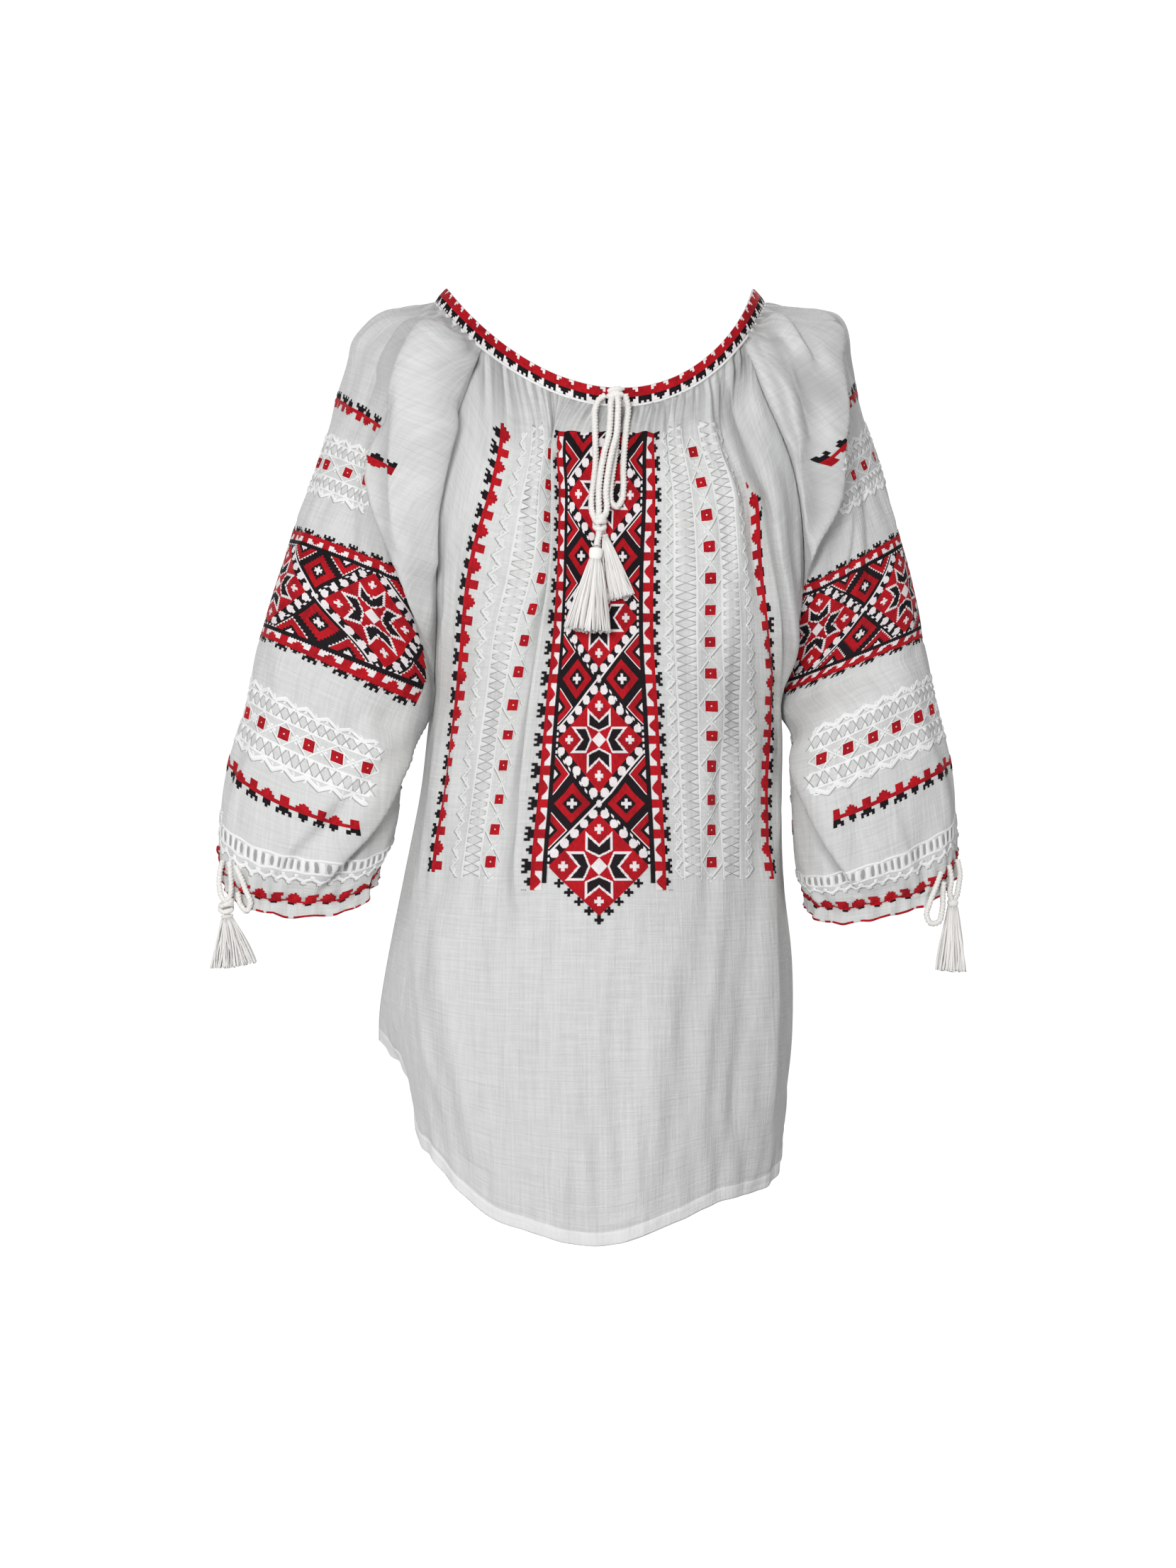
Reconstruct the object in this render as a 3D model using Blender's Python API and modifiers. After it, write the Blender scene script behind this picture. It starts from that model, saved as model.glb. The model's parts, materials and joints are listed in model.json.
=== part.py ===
"""Embroidered peasant blouse, worn form: gathered round neck in an embroidered band with a
drawstring, raglan sleeves gathered at the cuffs, shirt-tail hem. Metres in the scene, +Z up,
+X to the viewer's right, the front faces -Y. The origin is where the wearer's neck and
shoulders hold it: on the centre line, at the height of the shoulder tips of the neck seam.
All tables below are in millimetres and degrees."""

import bpy
import numpy as np
from math import radians

# ---------------------------------------------------------------- sizes
MM = 0.001
WALL = 1.2            # cloth wall
SEAM = 0.45           # each edge of the middle surface stands this far off its seam line
NECK_SEAM = 1.5       # and this far below the neck band, where the cloth turns outwards
NECK_HALF = 127.0     # half width of the neck seam
NECK_SKEW = 9.0       # the front of the neck sits a little to the right
NECK_FRONT, NECK_BACK = 105.0, 86.0      # depth of the neck seam, front and back
NECK_TIP, DIP_FRONT, DIP_BACK = -2.8, 91.0, 74.0
DIP_POWER, DIP_SKEW = 1.72, 3.6
BAND_HIGH, BAND_LEAN_SIDE, BAND_LEAN_FRONT, BAND_WALL = 14.0, 9.0, 3.0, 1.6

# neck angles (0 = front centre, +90 = right shoulder) where the raglan seams start
RAGLAN_AT = {"front_left": -47.0, "front_right": 58.0, "back_left": -124.0, "back_right": 124.0}

# raglan seams below the neck: v runs from 0 at the neck to 1 at the underarm
RAGLAN = {
    #               v     x      y      z
    "front_left": [(0.16, -99, -88, -77), (0.36, -113, -101, -124), (0.60, -121, -94, -190),
                   (0.84, -124, -60, -256), (1.00, -128, -6, -301)],
    "front_right": [(0.16, 120, -84, -76), (0.36, 143, -97, -136), (0.60, 153, -86, -206),
                    (0.84, 148, -52, -272), (1.00, 137, -4, -318)],
    "back_left": [(0.16, -112, 68, -62), (0.36, -126, 84, -115), (0.60, -134, 82, -185),
                  (0.84, -134, 50, -256), (1.00, -128, -6, -301)],
    "back_right": [(0.16, 112, 68, -62), (0.36, 128, 84, -118), (0.60, 138, 82, -190),
                   (0.84, 140, 48, -264), (1.00, 137, -4, -318)],
}

# side seams from the underarm (v = 1) to the hem corner (v = 2)
SIDE = {
    #           v     x     y     z
    "left": [(1.00, -128, -6, -301), (1.10, -132, -4, -326), (1.30, -139, -3, -384),
             (1.46, -150, -3, -440), (1.64, -163, -3, -505), (1.82, -170, -4, -548),
             (2.00, -171, -5, -574)],
    "right": [(1.00, 137, -4, -318), (1.10, 139, 2, -342), (1.30, 141, 6, -396),
              (1.46, 143, 10, -450), (1.64, 150, 18, -512), (1.82, 151, 30, -572),
              (2.00, 147, 44, -622)],
}

# front: where the lengthwise lines of the cloth run. Columns are cloth distances from the
# centre line: the edge lines, lace squares and centre panel edges of the embroidery.
FRONT_COLUMNS = ("line_l", "square_l", "panel_l", "centre", "panel_r", "square_r", "line_r")
FRONT_AT = (-132.0, -85.0, -54.0, 0.0, 54.0, 85.0, 132.0)
FRONT_NECK = (-40.0, -23.0, -14.0, 2.0, 18.0, 29.0, 50.0)      # neck angles of the columns
FRONT_ROWS = [
    # v    z centre y centre  x of line_l square_l panel_l centre panel_r square_r line_r
    (0.10, -113, -113, (-73, -37, -32, 6, 44, 66, 102)),
    (0.28, -163, -125, (-81, -39, -32, 3, 45, 76, 114)),
    (0.52, -216, -133, (-96, -42, -33, 1, 44, 81, 121)),
    (0.78, -268, -137, (-104, -56, -37, -1, 44, 81, 127)),
    (1.04, -323, -139, (-109, -66, -43, -1, 47, 82, 128)),
    (1.28, -383, -138, (-117, -74, -49, -1, 50, 82, 126)),
    (1.45, -443, -136, (-124, -82, -55, -1, 53, 83, 126)),
    (1.64, -518, -134, (-129, -86, -57, -1, 54, 85, 127)),
    (1.82, -602, -131, (-129, -86, -57, -1, 54, 86, 129)),
    (2.00, -717, -127, (-127, -84, -56, 0, 54, 86, 126)),
]
# height of the same columns in the last rows, where the hem curves
FRONT_HEM = {
    1.64: (-514, -518, -518, -518, -518, -518, -516),
    1.82: (-584, -600, -603, -604, -601, -598, -594),
    2.00: (-655, -696, -706, -717, -702, -690, -682),
}
BODY_ROUND = 2.25     # how square the body's sections are; 2 is an ellipse

# back: plainer, guessed. x of five lines, evenly spaced in the cloth
BACK_COLUMNS = ("outer_l", "inner_l", "centre", "inner_r", "outer_r")
BACK_AT = (-130.0, -65.0, 0.0, 65.0, 130.0)
BACK_NECK = (-137.0, -158.0, -180.0, -202.0, -223.0)
BACK_ROWS = [
    # v    z centre y centre  x of outer_l inner_l centre inner_r outer_r
    (0.12, -100, 92, (-84, -42, 0, 42, 84)),
    (0.30, -150, 104, (-94, -48, 0, 48, 94)),
    (0.54, -208, 110, (-102, -52, 0, 52, 104)),
    (0.80, -266, 111, (-108, -55, 0, 56, 110)),
    (1.04, -325, 109, (-112, -57, 0, 58, 114)),
    (1.28, -384, 105, (-116, -60, 0, 61, 118)),
    (1.45, -444, 103, (-120, -62, 0, 62, 120)),
    (1.64, -518, 106, (-124, -64, 0, 64, 123)),
    (1.82, -600, 110, (-124, -64, 0, 64, 124)),
    (2.00, -690, 113, (-118, -62, 0, 62, 122)),
]
BACK_HEM = {
    1.64: (-510, -517, -518, -518, -514),
    1.82: (-570, -594, -600, -598, -584),
    2.00: (-628, -675, -696, -688, -652),
}

# sleeves: t is the cloth distance from the neck down the top line. The row's outer point is on
# the top line, its inner point on the underarm seam (above the underarm, v on the raglan seams).
SLEEVE_T_END = 500.0
SLEEVE_LEFT_SIDE = [   # the sleeve at -X
    # t    x out  y out z out   v     x in  y in  z in  half depth  droop
    (30, -155, 0, -10, 0.055, 0, 0, 0, 84, 0),
    (58, -181, 0, -19, 0.12, 0, 0, 0, 92, 0),
    (76, -195, -2, -31, 0.18, 0, 0, 0, 96, 0),
    (95, -199, -4, -49, 0.26, 0, 0, 0, 98, 0),
    (121, -206, -6, -75, 0.38, 0, 0, 0, 99, 0),
    (174, -219, -12, -126, 0.54, 0, 0, 0, 95, 0),
    (227, -236, -16, -177, 0.72, 0, 0, 0, 84, 0),
    (272, -249, -18, -221, 0.88, 0, 0, 0, 72, 0),
    (304, -258, -19, -251, 1.00, 0, 0, 0, 62, 0),
    (320, -262, -20, -266, 1.06, -140, -16, -322, 58, 0),
    (371, -272, -22, -317, 1.30, -151, -22, -362, 51, 4),
    (414, -284, -24, -357, 1.50, -155, -26, -396, 48, 16),
    (457, -291, -26, -400, 1.72, -160, -28, -419, 45, 26),
    (486, -291, -27, -429, 1.90, -168, -29, -436, 41, 32),
    (500, -290, -27, -443, 2.00, -170, -29, -448, 43, 31),
]
SLEEVE_RIGHT_SIDE = [  # the sleeve at +X
    (30, 157, 0, -8, 0.055, 0, 0, 0, 84, 0),
    (58, 184, 0, -15, 0.12, 0, 0, 0, 92, 0),
    (76, 192, -2, -30, 0.18, 0, 0, 0, 96, 0),
    (95, 196, -4, -49, 0.26, 0, 0, 0, 98, 0),
    (121, 202, -6, -74, 0.36, 0, 0, 0, 98, 0),
    (174, 216, -12, -126, 0.50, 0, 0, 0, 94, 0),
    (227, 228, -16, -177, 0.66, 0, 0, 0, 84, 0),
    (272, 238, -18, -221, 0.81, 0, 0, 0, 72, 0),
    (304, 245, -20, -252, 0.92, 0, 0, 0, 62, 0),
    (326, 249, -22, -273, 1.00, 0, 0, 0, 56, 0),
    (340, 252, -23, -287, 1.07, 146, -30, -334, 53, 0),
    (371, 258, -25, -317, 1.30, 146, -36, -366, 50, 2),
    (414, 268, -27, -359, 1.50, 148, -38, -410, 47, 6),
    (457, 273, -28, -402, 1.72, 151, -38, -444, 44, 14),
    (486, 273, -28, -430, 1.90, 156, -37, -458, 40, 20),
    (500, 272, -28, -444, 2.00, 157, -36, -470, 42, 20),
]
SLEEVE_ROUND = ((0, 121, 174, 227, 304, 500), (1.45, 1.5, 1.62, 1.9, 2.4, 2.6))   # t, squareness of the section
SLEEVE_HALF = [(0, 96), (76, 118), (174, 148), (304, 170), (500, 170)]    # t, half width of the cloth
FRONT_HALF = [(0.0, 150), (0.5, 185), (1.0, 208), (1.5, 216), (2.0, 226)]    # v, half width

# main folds: a path in cloth coordinates (across, down), height of the ridge (minus: a
# trough), its half width, and how far its crest leans sideways
FOLDS_FRONT = [
    # a0    v0    a1    v1    a2    v2   height width lean
    (-56, 0.02, -57, 0.50, -60, 1.30, 7.0, 12.0, -4.0),
    (-78, 0.02, -73, 0.50, -76, 1.20, -6.0, 11.0, 0.0),
    (-112, 0.03, -128, 0.24, -150, 0.90, -8.0, 15.0, 0.0),
    (-96, 0.03, -100, 0.24, -108, 0.60, 5.0, 12.0, 0.0),
    (96, 0.02, 106, 0.24, 112, 0.60, 5.0, 12.0, 0.0),
    (116, 0.02, 124, 0.35, 134, 0.90, -7.0, 12.0, 0.0),
    (140, 0.04, 148, 0.40, 156, 0.94, 10.0, 16.0, -5.0),
    (-118, 1.50, -112, 1.70, -92, 1.94, 6.0, 18.0, 0.0),
    (134, 1.40, 130, 1.70, 126, 1.99, 7.0, 15.0, 3.0),
    (40, 1.56, 44, 1.74, 34, 1.96, 3.5, 18.0, 0.0),
]
FOLDS_BACK = [
    (-70, 0.03, -80, 0.40, -90, 0.95, 7.0, 18.0, 0.0),
    (74, 0.03, 86, 0.45, 96, 1.10, 7.0, 18.0, 0.0),
    (10, 0.03, 6, 0.30, 0, 0.70, -5.0, 18.0, 0.0),
    (-60, 1.50, -66, 1.70, -76, 1.98, 6.0, 20.0, 0.0),
    (66, 1.46, 72, 1.70, 70, 1.98, -6.0, 20.0, 0.0),
]
FOLDS_LEFT_SLEEVE = [      # across is minus to the front, down is t
    (-88, 70, -108, 170, -154, 306, 15.0, 20.0, 7.0),
    (-64, 100, -74, 190, -116, 300, -7.0, 15.0, 0.0),
    (-132, 340, -90, 420, -46, 492, 9.0, 17.0, -4.0),
    (90, 80, 108, 190, 140, 306, 9.0, 20.0, 0.0),
    (60, 340, 80, 420, 66, 486, -6.0, 18.0, 0.0),
]
FOLDS_RIGHT_SLEEVE = [
    (-86, 70, -108, 180, -150, 316, 14.0, 20.0, 7.0),
    (-66, 110, -76, 190, -112, 300, -6.0, 15.0, 0.0),
    (-122, 360, -90, 430, -60, 492, 8.0, 16.0, -3.0),
    (88, 80, 106, 190, 138, 306, 9.0, 20.0, 0.0),
    (54, 340, 72, 420, 62, 486, -6.0, 18.0, 0.0),
]

# drawstring, cuff ties and tassels: rows of a path are x, y, z
CORD_NECK, CORD_CUFF = 4.4, 4.0
NECK_CORDS = {
    "neck_cord_a": [(4.0, -112.5, -87.0), (-0.5, -112.0, -90.0), (-3.5, -112.5, -96.0), (-4.0, -116.0, -107.0),
                    (-3.5, -120.5, -123.5), (-3.5, -124.5, -140.5), (-5.0, -128.0, -154.0),
                    (-6.5, -131.0, -166.5), (-6.0, -133.5, -175.5)],
    "neck_cord_b": [(8.0, -116.5, -92.0), (7.5, -119.5, -102.0), (6.5, -124.0, -117.0), (3.0, -128.0, -131.0),
                    (0.5, -131.0, -144.5), (-1.2, -133.5, -160.5), (-1.0, -135.0, -176.0)],
    "neck_cord_c": [(13.2, -116.5, -92.0), (13.0, -119.5, -102.0), (12.0, -124.0, -117.0), (8.5, -128.0, -131.0),
                    (6.0, -131.0, -144.5), (4.2, -134.0, -160.5), (4.2, -135.5, -176.0)],
    "neck_loop": [(18.5, -112.5, -86.5), (20.5, -114.0, -96.0), (19.5, -116.5, -109.5), (18.0, -120.5, -126.0),
                  (17.0, -125.0, -144.5), (17.0, -128.5, -158.0), (15.5, -130.0, -167.0), (11.5, -131.0, -171.5),
                  (8.2, -130.5, -168.0), (7.5, -129.0, -160.0), (8.8, -125.8, -147.5), (11.0, -121.5, -131.5),
                  (12.5, -117.5, -115.0), (13.0, -114.0, -101.0)],
    "neck_stem": [(-1.0, -138.5, -192.0), (-2.0, -140.5, -197.0), (-2.8, -142.5, -201.5)],
}
CUFF_CORDS = {
    "cuff_cord_right": [(-286.5, -54.0, -434.0), (-288.5, -57.0, -443.5), (-288.5, -59.5, -453.5), (-286.5, -61.5, -461.0)],
    "cuff_end_right": [(-281.0, -60.5, -434.5), (-279.8, -62.0, -443.5), (-279.4, -62.5, -452.0), (-280.4, -62.5, -461.0)],
    "cuff_loop_right": [(-275.5, -65.5, -438.0), (-271.5, -69.5, -446.0), (-267.5, -70.5, -456.0), (-264.0, -71.0, -466.0),
                        (-266.5, -70.0, -471.5), (-271.5, -68.0, -467.0), (-273.8, -67.0, -457.5)],
    "cuff_cord_left": [(272.0, -50.0, -433.5), (273.5, -54.0, -444.0), (272.0, -56.5, -454.0), (270.0, -57.5, -461.5)],
    "cuff_end_left": [(264.6, -60.0, -437.0), (266.2, -61.0, -447.5), (265.4, -60.5, -460.5)],
    "cuff_loop_left": [(258.0, -65.5, -442.5), (253.5, -68.8, -454.0), (248.5, -71.0, -466.5), (246.5, -70.5, -474.5),
                       (250.0, -70.0, -481.0), (255.5, -69.0, -480.0), (258.5, -67.5, -471.5), (259.3, -65.5, -459.5),
                       (260.0, -65.0, -449.5)],
}
KNOTS = {   # centre, radius, height
    "neck_bow": ((11.0, -112.0, -84.0), 4.6, 8.0),
    "neck_knot": ((-0.5, -136.5, -183.8), 5.2, 14.0),
    "cuff_knot_right": ((-283.0, -64.0, -468.0), 6.0, 11.0),
}
TASSELS = {  # top, bottom, width at the bottom, depth share, head radius and length, width under the head
    "neck_tassel_a": ((-3.0, -143.5, -202.2), (-9.5, -153.5, -264.0), 38.0, 0.28, 5.2, 11.0, 9.5),
    "neck_tassel_b": ((3.0, -137.0, -192.2), (15.5, -142.0, -239.0), 21.0, 0.32, 2.6, 3.0, 4.5),
    "cuff_tassel_right": ((-282.5, -63.5, -474.2), (-277.5, -63.5, -514.0), 31.0, 0.40, 5.0, 4.0, 10.0),
    "cuff_tassel_left": ((267.6, -58.5, -463.4), (266.0, -59.0, -517.5), 25.0, 0.48, 4.4, 6.0, 8.4),
}


# ---------------------------------------------------------------- curves and surfaces
def spline(knots, values, at):
    """Smooth curve through the rows of a table, evaluated at the parameters given."""
    knots, values = np.asarray(knots, float), np.asarray(values, float)
    flat = values.reshape(len(knots), -1)
    step = np.diff(knots)
    slope = np.diff(flat, axis=0) / step[:, None]
    tangent = np.empty_like(flat)
    tangent[1:-1] = (slope[:-1] * step[1:, None] + slope[1:] * step[:-1, None]) / (step[:-1] + step[1:])[:, None]
    tangent[0], tangent[-1] = slope[0], slope[-1]
    at = np.clip(np.asarray(at, float), knots[0], knots[-1])
    cell = np.clip(np.searchsorted(knots, at, side="right") - 1, 0, len(step) - 1)
    h = step[cell][:, None]
    s = ((at - knots[cell]) / step[cell])[:, None]
    out = ((2 * s**3 - 3 * s**2 + 1) * flat[cell] + (s**3 - 2 * s**2 + s) * h * tangent[cell]
           + (-2 * s**3 + 3 * s**2) * flat[cell + 1] + (s**3 - s**2) * h * tangent[cell + 1])
    return out.reshape((len(at),) + values.shape[1:])


def column(table, index, at):
    return spline([row[0] for row in table], [[row[index]] for row in table], at)[:, 0]


def neck_ring(angle):
    """Seam line between the neck band and the panels."""
    a = np.radians(np.asarray(angle, float))
    s, c = np.sin(a), np.cos(a)
    front = c > 0
    x = NECK_HALF * s + np.where(front, NECK_SKEW * c * c, 0)
    y = -np.where(front, NECK_FRONT, NECK_BACK) * c
    z = NECK_TIP - np.where(front, DIP_FRONT, DIP_BACK) * np.abs(c) ** DIP_POWER
    z = z - np.where(front, DIP_SKEW * np.sin(2 * a), 0)
    return np.stack([x, y, z], -1)


def raglan(name, v):
    knots = [0.0] + [row[0] for row in RAGLAN[name]]
    points = [tuple(neck_ring([RAGLAN_AT[name]])[0])] + [row[1:] for row in RAGLAN[name]]
    return spline(knots, points, v)


def side_seam(name, v):
    return spline([row[0] for row in SIDE[name]], [row[1:] for row in SIDE[name]], v)


def body_edge(side, face, v):
    """The panel's edge: raglan seam down to the underarm, then side seam."""
    v = np.asarray(v, float)
    upper, lower = raglan(face + "_" + side, np.clip(v, 0, 1)), side_seam(side, np.clip(v, 1, 2))
    return np.where((v <= 1)[:, None], upper, lower)


def body_row(face, v, z_centre, y_centre, xs, hem):
    """Points of one row of a body panel, edge to edge: a rounded section through the edges."""
    left, right = body_edge("left", face, [v])[0], body_edge("right", face, [v])[0]
    middle = 0.5 * (left[0] + right[0])
    rounded = float(np.clip((v - 0.45) / 0.6, 0, 1)) ** 1.5
    power = 2.0 + 0.3 * (1 - rounded)
    points = []
    for i, x in enumerate(xs):
        edge = left if x < middle else right
        share = min(1.0, abs((x - middle) / (edge[0] - middle)))
        bulge = (1 - share ** power) ** (1.0 / (1.0 + rounded * (BODY_ROUND - 1.0)))
        y = edge[1] + (y_centre - edge[1]) * bulge
        z = hem[i] if hem is not None else z_centre + (edge[2] - z_centre) * share ** 3 * (0.5 if v < 1 else 0.25)
        points.append((x, y, z))
    return [tuple(left)] + points + [tuple(right)]


def body_net(face):
    rows, hems, neck, at = ((FRONT_ROWS, FRONT_HEM, FRONT_NECK, FRONT_AT) if face == "front"
                            else (BACK_ROWS, BACK_HEM, BACK_NECK, BACK_AT))
    sides = [RAGLAN_AT[face + "_left"], RAGLAN_AT[face + "_right"]]
    if face == "back":
        sides[1] -= 360.0
    ring = neck_ring([sides[0]] + list(neck) + [sides[1]])
    net = [[tuple(p) for p in ring]]
    for v, z, y, xs in rows:
        net.append(body_row(face, v, z, y, xs, hems.get(v)))
    return [0.0] + [row[0] for row in rows], at, np.array(net)


def half_width(v):
    return np.interp(v, [row[0] for row in FRONT_HALF], [row[1] for row in FRONT_HALF])


def body_surface(face, u, v):
    """Panel surface at across u (-1 to 1 of the half width) and down v; both are 1-D arrays."""
    rows, at, net = body_net(face)
    down = spline(rows, net, v)
    out = np.empty((len(v), len(u), 3))
    for j, vj in enumerate(v):
        half = float(half_width(vj))
        knots = [-half] + list(at) + [half]
        out[j] = spline(knots, down[j], np.asarray(u) * half)
    left, right = body_edge("left", face, v), body_edge("right", face, v)
    w = ((np.asarray(u) + 1) / 2)[None, :, None]
    out += (1 - w) ** 9 * (left - out[:, 0])[:, None] + w ** 9 * (right - out[:, -1])[:, None]
    return out


def sleeve_table(side):
    return SLEEVE_LEFT_SIDE if side == "left" else SLEEVE_RIGHT_SIDE


def sleeve_edges(side, t):
    """Front and back edge points of a sleeve, and its v, at the distances t down the top line."""
    table = [(0.0, 0, 0, 0, 0.0) + (0,) * 5] + sleeve_table(side)
    under = [row for row in table if row[4] >= 1.0]
    v = np.clip(column([(r[0], r[4]) for r in table], 1, t), 0, 2)
    corner = raglan("front_" + side, [1.0])[0]
    away = 3.5 if side == "right" else -3.5
    inner_t = [under[0][0]] + [row[0] for row in under[1:]]
    inner = spline(inner_t, [tuple(corner + np.array([away, 0, 0]))] + [row[5:8] for row in under[1:]], np.clip(t, inner_t[0], None))
    stand = (np.clip((v - 0.42) / 0.58, 0, 1) ** 1.3)[:, None] * np.array([away, 0, 0])
    front, back = raglan("front_" + side, np.clip(v, 0, 1)) + stand, raglan("back_" + side, np.clip(v, 0, 1)) + stand
    tube = (np.asarray(t) >= inner_t[0])[:, None]
    return np.where(tube, inner, front), np.where(tube, inner, back), v


def sleeve_row(side, row, q):
    """One cross row of a sleeve from its front edge (q = -1) over the top line (0) to its back edge."""
    t, x, y, z, v, _, _, _, depth, droop = row
    front, back, _ = sleeve_edges(side, np.array([t], float))
    front, back, top = front[0], back[0], np.array([x, y, z], float)
    middle = 0.5 * (front + back)
    reach = np.linalg.norm(front - back) / 2
    low = -np.arccos(min(1.0, reach / depth))
    up = (top - middle) / (1 - np.sin(low))
    centre = top - up
    ahead = (front - back) / (2 * np.cos(low)) if reach > 12 else np.array([0.0, -depth, 0.0])
    if reach > 12 and reach < depth:
        share = reach / depth
        ahead = share * ahead + (1 - share) * np.array([0.0, -depth, 0.0])
    angle = np.linspace(low, np.pi - low, 361)
    s, c = np.sin(angle), np.cos(angle)
    power = 2.0 / np.interp(t, SLEEVE_ROUND[0], SLEEVE_ROUND[1])
    s, c = np.sign(s) * np.abs(s) ** power, np.sign(c) * np.abs(c) ** power
    points = centre + up * s[:, None] + ahead * c[:, None]
    points[:, 2] -= droop * np.clip(c, 0, 1) ** 1.4
    w = np.linspace(0, 1, 361)[:, None]
    points += (1 - w) ** 2 * (front - points[0]) + w ** 2 * (back - points[-1])
    halves = []
    for part, share in ((points[:181], np.clip(q + 1, 0, 1)), (points[180:], np.clip(q, 0, 1))):
        length = np.concatenate([[0], np.cumsum(np.linalg.norm(np.diff(part, axis=0), axis=1))])
        halves.append(np.stack([np.interp(share * length[-1], length, part[:, k]) for k in range(3)], -1))
    return np.where((q < 0)[:, None], halves[0], halves[1])


def sleeve_surface(side, q, t):
    """Sleeve surface at across q (-1 front edge, 1 back edge) and down t; both are 1-D arrays."""
    q, t = np.asarray(q, float), np.asarray(t, float)
    table = sleeve_table(side)
    turn = -1.0 if side == "left" else 1.0
    first, last = RAGLAN_AT["front_" + side], RAGLAN_AT["back_" + side]
    angles = np.where(q < 0, 90 * turn + (first - 90 * turn) * -q, 90 * turn + (last - 90 * turn) * q)
    net = [neck_ring(angles)] + [sleeve_row(side, row, q) for row in table]
    out = spline([0.0] + [row[0] for row in table], np.array(net), t)
    front, back, _ = sleeve_edges(side, t)
    w = ((q + 1) / 2)[None, :, None]
    out += (1 - w) ** 8 * (front - out[:, 0])[:, None] + w ** 8 * (back - out[:, -1])[:, None]
    return out


def normals_of(points):
    """Unit normals of a grid of points, from its neighbours."""
    along = np.gradient(points, axis=0)
    across = np.gradient(points, axis=1)
    n = np.cross(across, along)
    return n / np.maximum(np.linalg.norm(n, axis=-1, keepdims=True), 1e-9)


def fold(points, normal, across, down, across_mm, down_mm, table, calm):
    """Raise the ridges and troughs of a table on a grid. across and down are the grid's cloth
    coordinates in the table's units; down_mm turns a step down into millimetres."""
    side = np.gradient(points, axis=1)
    side /= np.maximum(np.linalg.norm(side, axis=-1, keepdims=True), 1e-9)
    out = points.copy()
    for a0, d0, a1, d1, a2, d2, height, width, lean in table:
        s = np.linspace(0, 1, 60)[:, None]
        path = (1 - s) ** 2 * np.array([a0, d0]) + 2 * s * (1 - s) * (2 * np.array([a1, d1]) - 0.5 * np.array([a0, d0]) - 0.5 * np.array([a2, d2])) + s ** 2 * np.array([a2, d2])
        near_d = np.interp(down, path[:, 1], path[:, 0])
        off = (across - near_d) * across_mm
        run = np.clip((down - path[0, 1]) / (path[-1, 1] - path[0, 1]), 0, 1)
        past = np.maximum(path[0, 1] - down, down - path[-1, 1]) * down_mm
        swell = np.sin(np.pi * np.clip(run, 0.0, 1.0)) ** 0.6
        shape = np.exp(-(off / width) ** 2) * np.where(past > 0, 0.0, swell) * calm
        out += normal * (height * shape)[..., None] + side * (lean * shape)[..., None]
    return out


# ---------------------------------------------------------------- building
def clear_scene():
    for obj in list(bpy.data.objects):
        bpy.data.objects.remove(obj, do_unlink=True)


def material(name, colour, roughness):
    m = bpy.data.materials.new(name)
    m.use_nodes = True
    shader = m.node_tree.nodes["Principled BSDF"]
    shader.inputs["Base Color"].default_value = (*colour, 1)
    shader.inputs["Roughness"].default_value = roughness
    shader.inputs["Metallic"].default_value = 0.0
    m.diffuse_color = (*colour, 1)
    return m


def add_object(name, data, mat, group):
    obj = bpy.data.objects.new(name, data)
    group.objects.link(obj)
    data.materials.append(mat)
    return obj


def grid_faces(rows, columns, ring=False):
    """Faces of a grid of rows and columns; ring joins the last column to the first."""
    faces = []
    for j in range(rows - 1):
        for i in range(columns if ring else columns - 1):
            k = (i + 1) % columns
            faces.append((j * columns + i, (j + 1) * columns + i, (j + 1) * columns + k, j * columns + k))
    return faces


def wall_object(name, points, faces, thick, mat, group):
    """An open sheet of cloth made into a wall."""
    mesh = bpy.data.meshes.new(name)
    mesh.from_pydata((np.asarray(points).reshape(-1, 3) * MM).tolist(), [], faces)
    mesh.update()
    obj = add_object(name, mesh, mat, group)
    wall = obj.modifiers.new("wall", "SOLIDIFY")
    wall.thickness = thick * MM
    wall.offset = 0.0
    mesh.shade_smooth()
    return obj


def step_in(points, edge, amount):
    """Move an edge of the grid towards its neighbours, along the cloth."""
    views = {"left": (points[:, 0], points[:, 1]), "right": (points[:, -1], points[:, -2]),
             "top": (points[0], points[1]), "bottom": (points[-1], points[-2])}
    own, near = views[edge]
    way = near - own
    length = np.maximum(np.linalg.norm(way, axis=-1, keepdims=True), 1e-9)
    own += way / length * np.minimum(np.reshape(amount, (-1, 1)), 0.45 * length)


def body_panel(face, rows, columns, folds, mat, group):
    v = np.concatenate([np.linspace(0, 1, rows[0] + 1), np.linspace(1, 2, rows[1] + 1)[1:]])
    u = np.linspace(-1, 1, columns + 1)
    points = body_surface(face, u, v)
    normal = normals_of(points)
    if normal[len(v) // 2, len(u) // 2, 1] * (-1 if face == "front" else 1) < 0:
        normal = -normal
    half = half_width(v)[:, None]
    across, down = u[None, :] * half, np.repeat(v[:, None], len(u), 1)
    calm = np.clip((1 - np.abs(u[None, :])) / 0.14, 0, 1) * np.clip(down / 0.05, 0, 1)
    points = fold(points, normal, across, down, 1.0, 320.0, folds, calm)
    step_in(points, "left", SEAM)
    step_in(points, "right", SEAM)
    step_in(points, "top", NECK_SEAM)
    return wall_object(face, points, grid_faces(len(v), len(u)), WALL, mat, group)


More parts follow.
